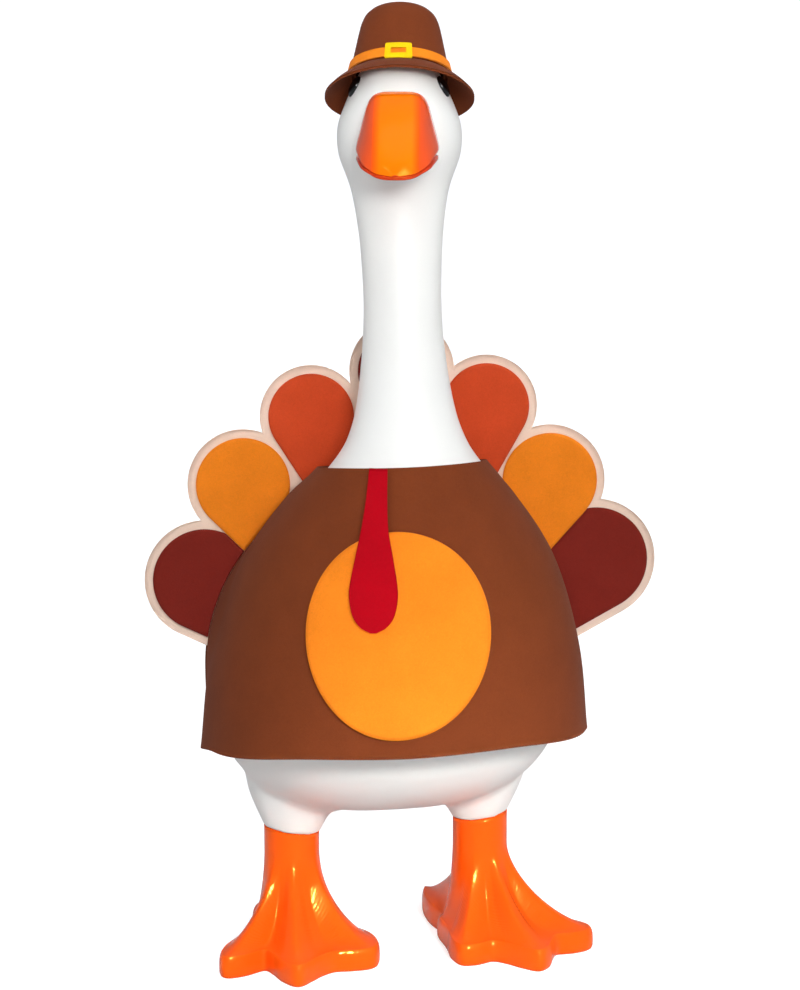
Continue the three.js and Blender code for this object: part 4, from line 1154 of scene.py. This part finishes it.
# %% Inside the goose
def inside_torso(points, growth):
    """True where (x/half)^power + (z/high)^power is below 1 in the section at the point's y."""
    share = (points[..., 1] + breast_reach + growth) / (torso_length + 2 * growth)
    half, waist, rise, fall = torso_section(share, growth)
    up = points[..., 2] - waist
    power = np.where(up > 0, back_power, belly_power)
    high = np.abs(up) / np.where(up > 0, rise, fall)
    within = (np.abs(points[..., 0]) / half) ** power + high ** power < 1
    return within & (share > 0) & (share < 1)


def inside_neck(points, growth):
    """True where the point lies in the oval at its own height."""
    height = points[..., 2]
    half, front, back, forward, turning = neck_section(height, growth)
    offset = points[..., 1] + forward
    across = points[..., 0] * np.cos(turning) - offset * np.sin(turning)
    ahead = -points[..., 0] * np.sin(turning) - offset * np.cos(turning)
    within = (across / half) ** 2 + (ahead / np.where(ahead > 0, front, back)) ** 2 < 1
    return within & (height > neck_base) & (height < neck_base + neck_rise + growth)


print("the torso's middle is inside:", bool(inside_torso(torso.mean((0, 1)), 0)))

# %% [markdown]
# Lines run down the bell at the front, the side, the back and between them. Each row of the table
# gives how far down it stands, and then, for every line, the shares of the reach from the neck's
# axis and of the drop below the collar.

# %% Lines down the cape
cape_top, cape_drop, cape_reach, cape_across = 346, 195, 168, -3.8
cape_turn, cape_slope = math.radians(6), math.tan(math.radians(1.9))
cloth_thickness, cloth_gap, layer_gap = 2.4, 1.2, 0.8
cape_shares = [
    [0, 0.297, 0.03, 0.3, 0.035, 0.305, 0.055, 0.3, 0.08, 0.286, 0.09],
    [0.25, 0.363, 0.17, 0.376, 0.17, 0.425, 0.18, 0.477, 0.17, 0.483, 0.162],
    [0.5, 0.405, 0.385, 0.447, 0.385, 0.573, 0.4, 0.688, 0.38, 0.667, 0.205],
    [0.75, 0.42, 0.64, 0.497, 0.64, 0.664, 0.69, 0.835, 0.67, 0.833, 0.241],
    [1, 0.424, 0.93, 0.529, 0.926, 0.697, 0.972, 0.905, 0.975, 1, 0.285],
]
lines_round = [1, 0, 1, 2, 3, 4, 3]
cape_gaps = 4


def between_lines(values, at):
    """The curve between two lines, with the mean slope at each; past front and back the lines mirror."""
    values = values[..., lines_round]
    row = np.clip((at * cape_gaps).astype(int), 0, cape_gaps - 1) + 1
    part = np.clip((at * cape_gaps + 1) - row, 0, 1)
    places = [np.minimum(row + step, len(lines_round) - 1)[..., None] for step in (-1, 0, 1, 2)]
    before, start, end, after = (np.take_along_axis(values, place, -1)[..., 0] for place in places)
    return start + curve_between(part, end - start, (end - before) / 2, (after - start) / 2)


print("lines round half of the cape:", cape_gaps + 1)

# %% Points on the cape
push_limit = 60.0


def pushed_out(place, inside, halvings=18):
    """The least step at which place(step) is outside, found by halving between none and the limit."""
    low = np.zeros(place(0.0).shape[:-1])
    high = np.where(inside(place(low)), push_limit, 0.0)
    for _ in range(halvings):
        middle = (low + high) / 2
        still = inside(place(middle))
        low, high = np.where(still, middle, low), np.where(still, high, middle)
    return high


def cape_points(turn, fall):
    """Points on the cape's inside, pushed out of the neck along their reach, and out of the torso."""
    row = read_table(cape_shares, fall)
    at = np.abs(turn) / np.pi
    reach = cape_reach * between_lines(row[..., 0::2], at)
    height = cape_top - cape_drop * between_lines(row[..., 1::2], at)
    heading = turn + cape_turn

    def place(extra):
        out = reach + extra
        across = -out * np.sin(heading)
        ahead = -collar_forward - out * np.cos(heading)
        return np.stack([cape_across + across, ahead, height + across * cape_slope], -1)

    points = place(pushed_out(place, lambda trial: inside_neck(trial, cloth_gap)))
    spine = np.zeros_like(points)
    spine[..., 1] = np.maximum(points[..., 1], -collar_forward)
    spine[..., 2] = belly_height + torso_height / 2
    away = points - spine
    away /= np.linalg.norm(away, axis=-1, keepdims=True)

    def moved(extra):
        return points + away * np.asarray(extra)[..., None]

    return moved(pushed_out(moved, lambda trial: inside_torso(trial, cloth_gap)))


print("front of the hem:", cape_points(np.zeros(1), np.ones(1))[0].round(1))

# %% [markdown]
# The bell is worked out once on a fine grid, with the direction that faces out of the cloth at each
# point. Every piece of the costume then asks that grid where it lies: a fall from 0 at the collar to
# 1 at the hem, a turn from the front, and how far the piece stands off the cloth. Where the cloth
# was pushed off the goose it would show a crease, so the grid is softened before its use.

# %% The bell as a grid
fall_steps, turn_steps = 240, 540
falls = evenly(fall_steps)[:, None]
turns = (np.arange(-1, turn_steps + 2) / turn_steps * 2 - 1)[None, :] * np.pi
wrapped = (turns + np.pi) % math.tau - np.pi
bell = cape_points(wrapped + 0 * falls, falls + 0 * turns)
print("the bell:", bell.shape[0], "rows of", bell.shape[1], "points")


def softened(grid, rounds):
    """Each point moves half way to the mean of its four neighbours, except at collar and hem."""
    grid = grid.copy()
    for _ in range(rounds):
        grid[:, 0], grid[:, -1] = grid[:, -4], grid[:, 3]
        around = grid[:-2, 1:-1] + grid[2:, 1:-1] + grid[1:-1, :-2] + grid[1:-1, 2:]
        grid[1:-1, 1:-1] += (around / 4 - grid[1:-1, 1:-1]) / 2
    return grid


# %% The way out of the cloth
bell = softened(bell, 30)
around = bell[:, 2:] - bell[:, :-2]
down = np.gradient(bell, axis=0)[:, 1:-1]
facing = np.cross(around, down)
facing /= np.linalg.norm(facing, axis=-1, keepdims=True)
bell = bell[:, 1:-1]
print("cape widths:", np.ptp(bell[..., 0], axis=1)[[0, fall_steps // 2, fall_steps]].round(1))


def on_cape(turn, fall, lift):
    """A point between four of the grid's, mixed by how near it lies to each, plus lift along the facing."""
    column = ((turn + np.pi) % math.tau) / math.tau * turn_steps
    row = np.clip(fall, 0, 1) * fall_steps
    column_low = np.clip(column.astype(int), 0, turn_steps - 1)
    row_low = np.clip(row.astype(int), 0, fall_steps - 1)
    right, lower = (column - column_low)[..., None], (row - row_low)[..., None]

    def mixed(grid):
        top = grid[row_low, column_low] * (1 - right) + grid[row_low, column_low + 1] * right
        bottom = grid[row_low + 1, column_low] * (1 - right) + grid[row_low + 1, column_low + 1] * right
        return top * (1 - lower) + bottom * lower

    return mixed(bell) + mixed(facing) * lift


# %% [markdown]
# ## Cutting the cape into its three panels
# The fan stands in the shoulder seams, so the cape is one panel in front of it and two behind, and
# the two behind meet at a slit. In the fan's own frame, u runs across it and v through it from front
# to back. A panel's edge in each row is the turn where the cloth reaches the fan, or the slit, and
# halving finds it.

# %% The fan's frame, and edges in it
fan_behind, fan_across, fan_middle, fan_thickness = 54, 1.5, 267.5, 3
closure_gap = 0.8
fan_slot = fan_thickness / 2 + fit_gap
past_back = 0.3


def in_fan_frame(u, v, height):
    """From across, through and up in the fan's frame to the goose's frame."""
    x, y = u + fan_across, v + fan_behind
    sine, cosine = math.sin(cape_turn), math.cos(cape_turn)
    return np.stack([x * cosine + y * sine, -x * sine + y * cosine - collar_forward, height], -1)


def across_and_through(points):
    """The u and v of points: the turn of in_fan_frame undone, less the fan's own place."""
    x, y = points[..., 0], points[..., 1] + collar_forward
    sine, cosine = math.sin(cape_turn), math.cos(cape_turn)
    return x * cosine - y * sine - fan_across, x * sine + y * cosine - fan_behind


def first_turn(side, fall, lift, beyond, start=0.0, halvings=30):
    """The least turn to one side at which beyond(u, v) holds, by halving up to just past the back."""
    low, high = np.full(fall.shape, start), np.full(fall.shape, np.pi + past_back)
    for _ in range(halvings):
        middle = (low + high) / 2
        passed = beyond(*across_and_through(on_cape(side * middle, fall, lift)))
        low, high = np.where(passed, low, middle), np.where(passed, middle, high)
    return side * (low + high) / 2


def at_slit(side, fall, lift):
    """The turn at which the cloth of one side reaches the slit."""
    return first_turn(side, fall, lift, lambda u, v: side * u > -closure_gap / 2, math.pi / 2)


def cape_edge(side, fall, lift, through):
    """The turn at which the cloth reaches a plane of the fan, or the slit before that."""
    def beyond(u, v):
        return (v > through) | ((side * u > -closure_gap / 2) & (v > -fan_behind))

    return first_turn(side, fall, lift, beyond)


def row_where(side, lift, through):
    """The fall at which the slit's edge reaches a plane of the fan."""
    low, high = np.zeros(1), np.ones(1)
    for _ in range(24):
        middle = (low + high) / 2
        passed = across_and_through(on_cape(at_slit(side, middle, lift), middle, lift))[1] > through
        low, high = np.where(passed, low, middle), np.where(passed, middle, high)
    return high[0]


print("the slit's edge reaches the fan at a fall of", round(float(row_where(1, 0, -fan_slot)), 3))

# %% [markdown]
# A panel is a grid between its two edges, once on the cloth's inside and once lifted by the cloth's
# thickness. Its rows are closer together where the edge turns sharply at the fan. The size of the
# flat felt that it was cut from comes from its longest row and column.

# %% Cape panels
front_crowding, back_crowding = 1.6, 1.3
seam_start_share = 0.004


def front_panel(lift):
    """Rows down the cape, closer together where the collar's ring opens at the fan."""
    opening = row_where(1, lift, -fan_slot)
    collar = opening * evenly(12)[:-1]
    fall = np.concatenate([collar, opening + (1 - opening) * evenly(110) ** front_crowding])[:, None]
    left, right = (cape_edge(side, fall, lift, -fan_slot) for side in (1, -1))
    share = evenly(220)[None, :]
    return on_cape(left + (right - left) * share, fall + 0 * share, lift)


def back_panel(side, lift):
    """Rows from the point where the slit reaches the fan down to the hem."""
    opening = row_where(side, lift, fan_slot) + seam_start_share
    fall = (opening + (1 - opening) * evenly(110) ** back_crowding)[:, None]
    inner, outer = cape_edge(side, fall, lift, fan_slot), at_slit(side, fall, lift)
    share = evenly(90)[None, :]
    return on_cape(inner + (outer - inner) * share, fall + 0 * share, lift)


def flat_size(grid):
    """The longest row and the longest column of a grid, and its area, in metres."""
    across = np.linalg.norm(np.diff(grid, axis=1), axis=-1).sum(1).max()
    along = np.linalg.norm(np.diff(grid, axis=0), axis=-1).sum(0).max()
    return (across * MILLIMETRE, along * MILLIMETRE), area_of(grid)


# %% Felt as it was cut
smallest_cut = 0.01


def cut_from(piece, size, area, held, rests_on):
    """Prints the flat size of a piece of felt in metres, no side under the smallest cut, and its area."""
    size = [max(length, smallest_cut) for length in size]
    area = min(area, size[0] * size[1])
    print(piece.name, "cut from", [round(length, 3) for length in size], "area", round(area, 5))


# %% The three panels
inner, outer = (front_panel(lift) for lift in (0, cloth_thickness))
cape_front = make_piece("felt_cape_front", *sheet_surface(inner, outer))
dress(cape_front, brown_felt, nodes=["cape_front"])
cut_from(cape_front, *flat_size(inner), "draped", ["goose_shell"])
for side, name in ((1, "cape_back_left"), (-1, "cape_back_right")):
    inner, outer = (back_panel(side, lift) for lift in (0, cloth_thickness))
    panel = make_piece(f"felt_{name}", *sheet_surface(inner, outer))
    dress(panel, brown_felt, nodes=[name])
    cut_from(panel, *flat_size(inner), "draped", ["goose_shell"])

# %% [markdown]
# ## Belly patch and wattle
# Both are felt, glued or sewn on the cape. Seen from in front of the goose they are flat shapes: an
# ellipse, and a long drop. So each of their points is a place across and a height, and halving
# finds the turn and the fall of the cape where it lies.

# %% Looking up a place on the cape
def seen_on_cape(across, height, lift, halvings=22):
    """The point at a height, and at a distance across as the goose's face looks, on the lifted cape."""
    sine, cosine = math.sin(head_turn), math.cos(head_turn)
    turn_low, turn_high = np.full(across.shape, -np.pi / 2), np.full(across.shape, np.pi / 2)
    for _ in range(halvings):
        turn = (turn_low + turn_high) / 2
        fall_low, fall_high = np.zeros(across.shape), np.ones(across.shape)
        for _ in range(halvings):
            fall = (fall_low + fall_high) / 2
            above = on_cape(turn, fall, lift)[..., 2] > height
            fall_low, fall_high = np.where(above, fall, fall_low), np.where(above, fall_high, fall)
        place = on_cape(turn, fall, lift)
        left = place[..., 0] * cosine - (place[..., 1] + collar_forward) * sine < across
        turn_low, turn_high = np.where(left, turn_low, turn), np.where(left, turn, turn_high)
    return place


in_front = seen_on_cape(np.zeros(1), fan_middle, np.zeros((1, 1)))[0]
print("in front of the fan's middle, the cape lies at", in_front.round(1))

# %% [markdown]
# The patch is an ellipse of orange felt, laid on the cloth. It is a row of rings from near its
# middle to its edge, once below and once above, so that it bends with the cape under it.

# %% Belly patch
patch_width, patch_height, patch_middle, patch_across, patch_thickness = 113, 127, 240, -3.7, 1.6
patch_lift = cloth_thickness + layer_gap
patch_columns, patch_core_share = 120, 0.01


def patch_grid(lift):
    """Rings of an ellipse, from near its middle out to its edge."""
    share = np.maximum(evenly(24), patch_core_share)[:, None]
    turn = full_turn(patch_columns)[None, :]
    across = patch_across + patch_width / 2 * share * np.cos(turn)
    height = patch_middle + patch_height / 2 * share * np.sin(turn)
    return seen_on_cape(across, height, np.full(across.shape + (1,), lift))


under, over = (patch_grid(patch_lift + stand) for stand in (0, patch_thickness))
belly_patch = make_piece("felt_belly_patch", *tube_surface(np.concatenate([under, over[::-1]])))
dress(belly_patch, orange_felt, nodes=["belly_patch"])
spokes = under[:, [0, patch_columns // 4]]
patch_flat = 2 * np.linalg.norm(np.diff(spokes, axis=0), axis=-1).sum(0) * MILLIMETRE
patch_area = float(math.pi / 4 * patch_flat.prod())
cut_from(belly_patch, patch_flat.tolist(), patch_area, "laid", ["felt_cape_front"])

# %% [markdown]
# The wattle hangs from the collar as a narrow strip that swells into a drop. The table gives, for
# each share of its length, the shares of the width and of the lift onto the patch, and how far the
# middle wanders sideways. It rides on its own body, because it swings about its seam.

# %% Wattle
wattle_length, wattle_width, wattle_across, wattle_thickness = 97, 29.5, -18.5, 2
wattle_seam_share = 0.03
wattle_shares = [
    [0, 0.38, 0, 0.08],
    [0.2, 0.45, 0.45, 0.05],
    [0.37, 0.57, 1, 0.02],
    [0.55, 0.8, 1, 0.01],
    [0.73, 1, 1, 0],
    [0.82, 0.98, 1, 0],
    [0.91, 0.82, 1, 0],
    [0.97, 0.5, 1, 0],
    [1, 0.12, 1, 0],
]


def wattle_grid(lift):
    """Rows down the drop, closer together at its round end; it climbs onto the patch on the way."""
    step = np.sin(np.pi / 2 * evenly(80))[:, None]
    table = read_table(wattle_shares, step)
    column = 2 * evenly(24)[None, :] - 1
    across = wattle_across + wattle_width * (table[..., 2] + table[..., 0] / 2 * column)
    height = cape_top - cape_drop * wattle_seam_share - wattle_length * step + 0 * column
    stand = patch_lift + (patch_thickness + fit_gap) * table[..., 1] + lift
    return seen_on_cape(across, height, (stand + 0 * column)[..., None])


inner, outer = (wattle_grid(lift) for lift in (0, wattle_thickness))
wattle = make_piece("felt_wattle", *sheet_surface(inner, outer))
dress(wattle, red_felt, "wattle", ["wattle"])
cut_from(wattle, *flat_size(inner), "hung", ["felt_cape_front"])

# %% [markdown]
# The slit in the back is closed by two tabs of hook-and-loop tape. Each is a small rectangle that
# follows the cloth: its width becomes a turn round the goose, and its height a share of the slit.

# %% Closure tabs over the slit
tab_width, tab_height, tab_thickness = 34, 15, 1.6
slit_turn = math.pi - 0.001
slit_line = on_cape(np.full(101, slit_turn), evenly(100), np.zeros((101, 1)))
slit_length = np.linalg.norm(np.diff(slit_line, axis=0), axis=-1).sum()
for name, tab_fall in (("closure_tab_upper", 0.42), ("closure_tab_lower", 0.78)):
    middle = on_cape(np.array(slit_turn), np.array(tab_fall), 0)
    half_turn = tab_width / 2 / math.hypot(middle[0], middle[1] + collar_forward)
    half_fall = tab_height / 2 / slit_length
    turn = np.pi + half_turn * (2 * evenly(24)[None, :] - 1)
    fall = tab_fall + half_fall * (2 * evenly(12)[:, None] - 1)
    stands = (patch_lift, patch_lift + tab_thickness)
    inner, outer = (on_cape(turn + 0 * fall, fall + 0 * turn, lift) for lift in stands)
    tab = make_piece(f"strip_{name}", *sheet_surface(inner, outer))
    dress(tab, black_tape, nodes=[name])
    cut_from(tab, *flat_size(inner), "laid", ["felt_cape_back_left", "felt_cape_back_right"])

# %% [markdown]
# ## Fan of feathers
# Each feather is a drop: a round end and two straight sides that meet at a pointed root inside the
# cape. The rust ones lie over the orange, and the orange over the maroon, and the cream back shows
# as a border beyond them all. Rays from one point find each outline: a feather reaches from its
# middle to its own edge, or to the first neighbour that covers it, or to the cape, and the back
# reaches from the cape's inside to the farthest of the grown drops.
#
# Each row of the table is a feather: the turn of its middle from straight up and the lean of its
# axis, both in degrees, and the shares of the fan's reach and of the round end's radius.

# %% Drops
fan_reach, feather_radius, feather_length, feather_thickness, border_width = 112, 28.2, 62, 1.4, 5.4
feather_shares = [
    [-95.6, -37.4, 1.154, 1.19],
    [-64.2, -18.1, 1.022, 1.083],
    [-31.9, -5.6, 0.988, 0.986],
    [0.4, -0.6, 1.099, 1.022],
    [29.5, 2.4, 1.019, 1.002],
    [63.2, 14.9, 0.987, 1.114],
    [91.5, 34.2, 1.159, 1.233],
]
felts = {"maroon_felt": maroon_felt, "orange_felt": orange_felt, "rust_felt": rust_felt}
one_side = ["maroon_felt", "orange_felt", "rust_felt"]
feather_felts = [*one_side, "maroon_felt", *one_side[::-1]]
middle_feather = len(feather_felts) // 2


def drop_outline(index, growth):
    """The middle of a feather's round end, and its outline: root, arc from touch to touch, root."""
    turn, lean, reach_share, radius_share = feather_shares[index + middle_feather]
    turn, lean = math.radians(turn), math.radians(lean)
    middle = fan_reach * reach_share * np.array([math.sin(turn), math.cos(turn)]) + [0, fan_middle]
    radius = feather_radius * radius_share + growth
    root_distance = feather_length / feather_radius * radius
    root = middle - root_distance * np.array([math.sin(lean), math.cos(lean)])
    tangent = math.acos(radius / root_distance)
    away = math.atan2(*(root - middle)[::-1])
    arc = np.linspace(away + tangent, away - tangent + math.tau, 240)
    round_end = middle + radius * np.stack([np.cos(arc), np.sin(arc)], -1)
    return middle, np.concatenate([[root], round_end])


print("the middle feather's round end stands at", drop_outline(0, 0)[0].round(1))

# %% Rays across an outline
least_slant = 1e-9


def ray_hits(origin, angles, outline):
    """Distance = start x edge / (ray x edge) for each edge of a closed outline, or infinity."""
    start = outline - origin
    edge = np.roll(start, -1, 0) - start
    ray = np.stack([np.cos(angles), np.sin(angles)], -1)[:, None]
    slant = ray[..., 0] * edge[:, 1] - ray[..., 1] * edge[:, 0]
    slant = np.where(np.abs(slant) < least_slant, least_slant, slant)
    distance = (start[:, 0] * edge[:, 1] - start[:, 1] * edge[:, 0]) / slant
    along = (start[:, 0] * ray[..., 1] - start[:, 1] * ray[..., 0]) / slant
    return np.where((distance > 0) & (along >= 0) & (along <= 1), distance, np.inf)


def cape_section(lift, through):
    """The cape's outline in a plane of the fan, up one side, over and down the other to the ground."""
    opening = row_where(1, lift, through)
    fall = opening + (1 - opening) * evenly(120) ** front_crowding
    halves = []
    for side in (1, -1):
        turn = first_turn(side, fall, lift, lambda u, v: v > through)
        points = on_cape(turn, fall, lift)
        halves.append(np.stack([across_and_through(points)[0], points[..., 2]], -1))
    left, right = halves
    ground = np.array([[right[-1, 0], 0], [left[-1, 0], 0]])
    return np.concatenate([left[::-1], right, ground])


feather_v = -fan_slot
cape_outside = cape_section(cloth_thickness + fit_gap, feather_v - feather_thickness / 2)
print("where the feathers stand, the cape is", np.ptp(cape_outside[:, 0]).round(1), "mm wide")

# %% [markdown]
# A feather is felt too, and lies flat on the cream back. Where a neighbour covers it, or the cape
# does, it stops at that outline, so that no two sheets share the same place.

# %% Feathers
feather_core_share = 0.02
angles = full_turn(420)


def covering(index):
    """The neighbours over a feather: both rust ones over the middle one, and none over those."""
    if index == 0:
        return [-1, 1]
    return [index - int(np.sign(index))] if abs(index) > 1 else []


for place, felt in enumerate(feather_felts):
    index = place - middle_feather
    middle, outline = drop_outline(index, 0)
    outlines = [outline, *(drop_outline(cover, fit_gap)[1] for cover in covering(index)), cape_outside]
    reach = np.min([ray_hits(middle, angles, each).min(1) for each in outlines], 0)
    share = np.maximum(evenly(12), feather_core_share)[:, None]
    u = middle[0] + reach * share * np.cos(angles)
    height = middle[1] + reach * share * np.sin(angles)
    faces = [in_fan_frame(u, 0 * u + feather_v - out, height) for out in (0, feather_thickness)]
    rings = np.concatenate([faces[0], faces[1][::-1]])
    feather = make_piece(f"felt_feather_{place + 1}", *tube_surface(rings))
    dress(feather, felts[felt], nodes=[f"feather_{place + 1}"])
    size = (np.ptp(u) * MILLIMETRE, np.ptp(height) * MILLIMETRE)
    cut_from(feather, size, area_of(faces[0]), "laid", ["felt_fan_back"])

# %% [markdown]
# The cream back carries the feathers, and its edge follows theirs at an even distance, which leaves
# the light border. Rays from the fan's hub, spread a little below level on both sides, find where
# it comes out of the cape and where it ends.

# %% Cream back
below_level, least_border = 0.6, 0.5
cape_inside = cape_section(-fit_gap, 0)
hub = np.array([0, fan_middle])
angles = np.linspace(-below_level, math.pi + below_level, 1200)
grown = [drop_outline(place - middle_feather, border_width)[1] for place in range(len(feather_felts))]


def farthest(outline):
    """The last crossing of each ray, or none."""
    hits = ray_hits(hub, angles, outline)
    return np.where(np.isfinite(hits), hits, 0).max(1)


outer_reach = np.max([farthest(outline) for outline in grown], 0)
inner_reach = ray_hits(hub, angles, cape_inside).min(1)
shown = outer_reach > inner_reach + least_border
angles, outer_reach, inner_reach = angles[shown], outer_reach[shown], inner_reach[shown]
reach = inner_reach + (outer_reach - inner_reach) * evenly(16)[:, None]
u, height = hub[0] + reach * np.cos(angles), hub[1] + reach * np.sin(angles)
faces = [in_fan_frame(u, 0 * u + v, height) for v in (-fan_thickness / 2, fan_thickness / 2)]
fan_back = make_piece("felt_fan_back", *sheet_surface(*faces))
dress(fan_back, cream_felt, nodes=["fan_back"])
size = (np.ptp(u) * MILLIMETRE, np.ptp(height) * MILLIMETRE)
cut_from(fan_back, size, area_of(faces[0]), "stretched", ["felt_cape_front"])

# %% [markdown]
# ## The felt of the hat, as it was cut
# A felt hat starts as flat felt too: the crown is a disc pulled over a block, the brim a ring, and
# band, buckle and sweatband are strips and a frame.

# %% Flat sizes of the hat's pieces
crown_flat = area_of(outside)
crown_size = 2 * math.sqrt(crown_flat / math.pi)
cut_from(hat_crown, (crown_size, crown_size), crown_flat, "stretched", ["goose_shell"])
brim_size = 2 * (crown_radius + brim_width) * MILLIMETRE
cut_from(hat_brim, (brim_size, brim_size), area_of(brim_top), "stretched", ["felt_crown"])
for piece, grid in ((hat_band, band[0]), (hat_sweatband, lining[0])):
    cut_from(piece, *flat_size(grid), "stretched", ["felt_crown"])
buckle_size = (buckle_width * MILLIMETRE, buckle_height * MILLIMETRE)
cut_from(hat_buckle, buckle_size, area_of(buckle[0]), "laid", ["felt_band"])

# %% [markdown]
# ## Plug, floor, light and camera
# The filling plug under the rump shows only from below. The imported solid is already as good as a
# new surface would be, so it keeps its shape and takes the goose's white plastic.

# %% Plug
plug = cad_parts["fill_plug"]
plug.data.materials.clear()
plug.data.materials.append(white_plastic)
print("plug:", len(plug.data.polygons), "faces in", plug.data.materials[0].name)

# %% [markdown]
# The goose stands on white paper that runs out of sight behind it. The paper glows a little for the
# camera alone, so that floor and background come out as one white, and the goose's shadow still
# falls on it.

# %% Floor
floor_size, floor_shade, floor_glow = 60.0, 0.55, 0.72
bpy.ops.mesh.primitive_plane_add(size=floor_size)
floor = bpy.context.active_object
floor.name = "floor"
paper, tree, shader, add = start_finish("paper")
shader.inputs["Base Color"].default_value = (*[floor_shade] * 3, 1)
shader.inputs["Roughness"].default_value = 1.0
shader.inputs["Specular IOR Level"].default_value = 0.0
shader.inputs["Emission Color"].default_value = (1, 1, 1, 1)
seen = add("ShaderNodeLightPath")
glow = add("ShaderNodeMapRange")
glow.inputs["To Max"].default_value = floor_glow
tree.links.new(seen.outputs["Is Camera Ray"], glow.inputs["Value"])
tree.links.new(glow.outputs["Result"], shader.inputs["Emission Strength"])
floor.data.materials.append(paper)
print("floor:", floor_size, "m square")

# %% [markdown]
# Most of the light comes from a white sky on every side. It has three strengths: one for what the
# camera sees of it, a lower one for the light that it casts, and a much lower one for what glossy
# paint mirrors, because a bright sky would wash out the red of the legs.

# %% Sky of the studio
seen_light, soft_share, shine_share = 1.15, 0.8, 0.22
world = bpy.data.worlds.new("studio")
bpy.context.scene.world = world
world.use_nodes = True
tree = world.node_tree
background = tree.nodes["Background"]
background.inputs["Color"].default_value = light_of("f8faff")
ray = tree.nodes.new("ShaderNodeLightPath")
shine, view = (tree.nodes.new("ShaderNodeMix") for _ in range(2))
for choice, kind, level in ((shine, "Is Glossy Ray", shine_share), (view, "Is Camera Ray", seen_light)):
    tree.links.new(ray.outputs[kind], choice.inputs["Factor"])
    choice.inputs["B"].default_value = level
shine.inputs["A"].default_value = soft_share
tree.links.new(shine.outputs["Result"], view.inputs["A"])
tree.links.new(view.outputs["Result"], background.inputs["Strength"])
print("sky: cast", soft_share, "mirrored", shine_share, "seen", seen_light)

# %% [markdown]
# A large key light stands high in front, on the viewer's right, and a light above fills the top
# of the fan. Two narrow beams lift the face under the brim and the feet, which lie in shade
# otherwise. Two small lights make the highlights on the bill. Each row gives the light's place and
# its target in metres, its size in metres, its power in watts and its beam in degrees.

# %% Soft lights
chest, face = (0, -0.1, 0.3), (-0.02, -0.18, 0.53)
brow, toes = (-0.02, -0.13, 0.56), (0, -0.08, 0.02)
lights = {
    "key": ((0.5, -1.9, 1.4), chest, 1.1, 2.8, 180),
    "top": ((0.1, -0.7, 2.3), chest, 1.2, 4, 180),
    "face_light": ((-0.1, -2.0, 0.85), brow, 0.4, 0.3, 18),
    "foot_light": ((0.15, -1.6, 0.75), toes, 0.2, 0.36, 19),
    "spark_left": ((-0.617, -1.165, 0.931), face, 0.05, 0.7, 180),
    "spark_right": ((-0.105, -1.306, 0.984), face, 0.05, 0.5, 180),
}


def soft_light(name, place, target, size, power, beam):
    """A square area light whose back points along place - target, with a beam in degrees."""
    light = bpy.data.lights.new(name, "AREA")
    light.shape, light.size, light.energy = "SQUARE", size, power
    light.spread = math.radians(beam)
    lamp = bpy.data.objects.new(name, light)
    bpy.context.scene.collection.objects.link(lamp)
    lamp.location = place
    lamp.rotation_euler = (Vector(target) - Vector(place)).to_track_quat("-Z", "Y").to_euler()


for name, settings in lights.items():
    soft_light(name, *settings)
print("lights:", ", ".join(lights))

# %% [markdown]
# The camera stands a metre and a half away, about as high as the bill and a little to one side,
# and looks down by about eight degrees. Its place is in the goose's frame, in millimetres.

# %% Camera
camera_place = np.array([-302.3, -1469.2, 520.0])
camera_forward = Vector((0.2058, 0.9684, -0.1406))
camera_lens = 83.27
camera_data = bpy.data.cameras.new("photo_view")
camera_data.lens = camera_lens
camera = bpy.data.objects.new("photo_view", camera_data)
bpy.context.scene.collection.objects.link(camera)
camera.location = to_scene(camera_place).tolist()
camera.rotation_euler = camera_forward.to_track_quat("-Z", "Y").to_euler()
bpy.context.scene.camera = camera
bpy.context.scene.view_settings.view_transform = "Standard"
print("camera at", [round(place, 3) for place in camera.location])
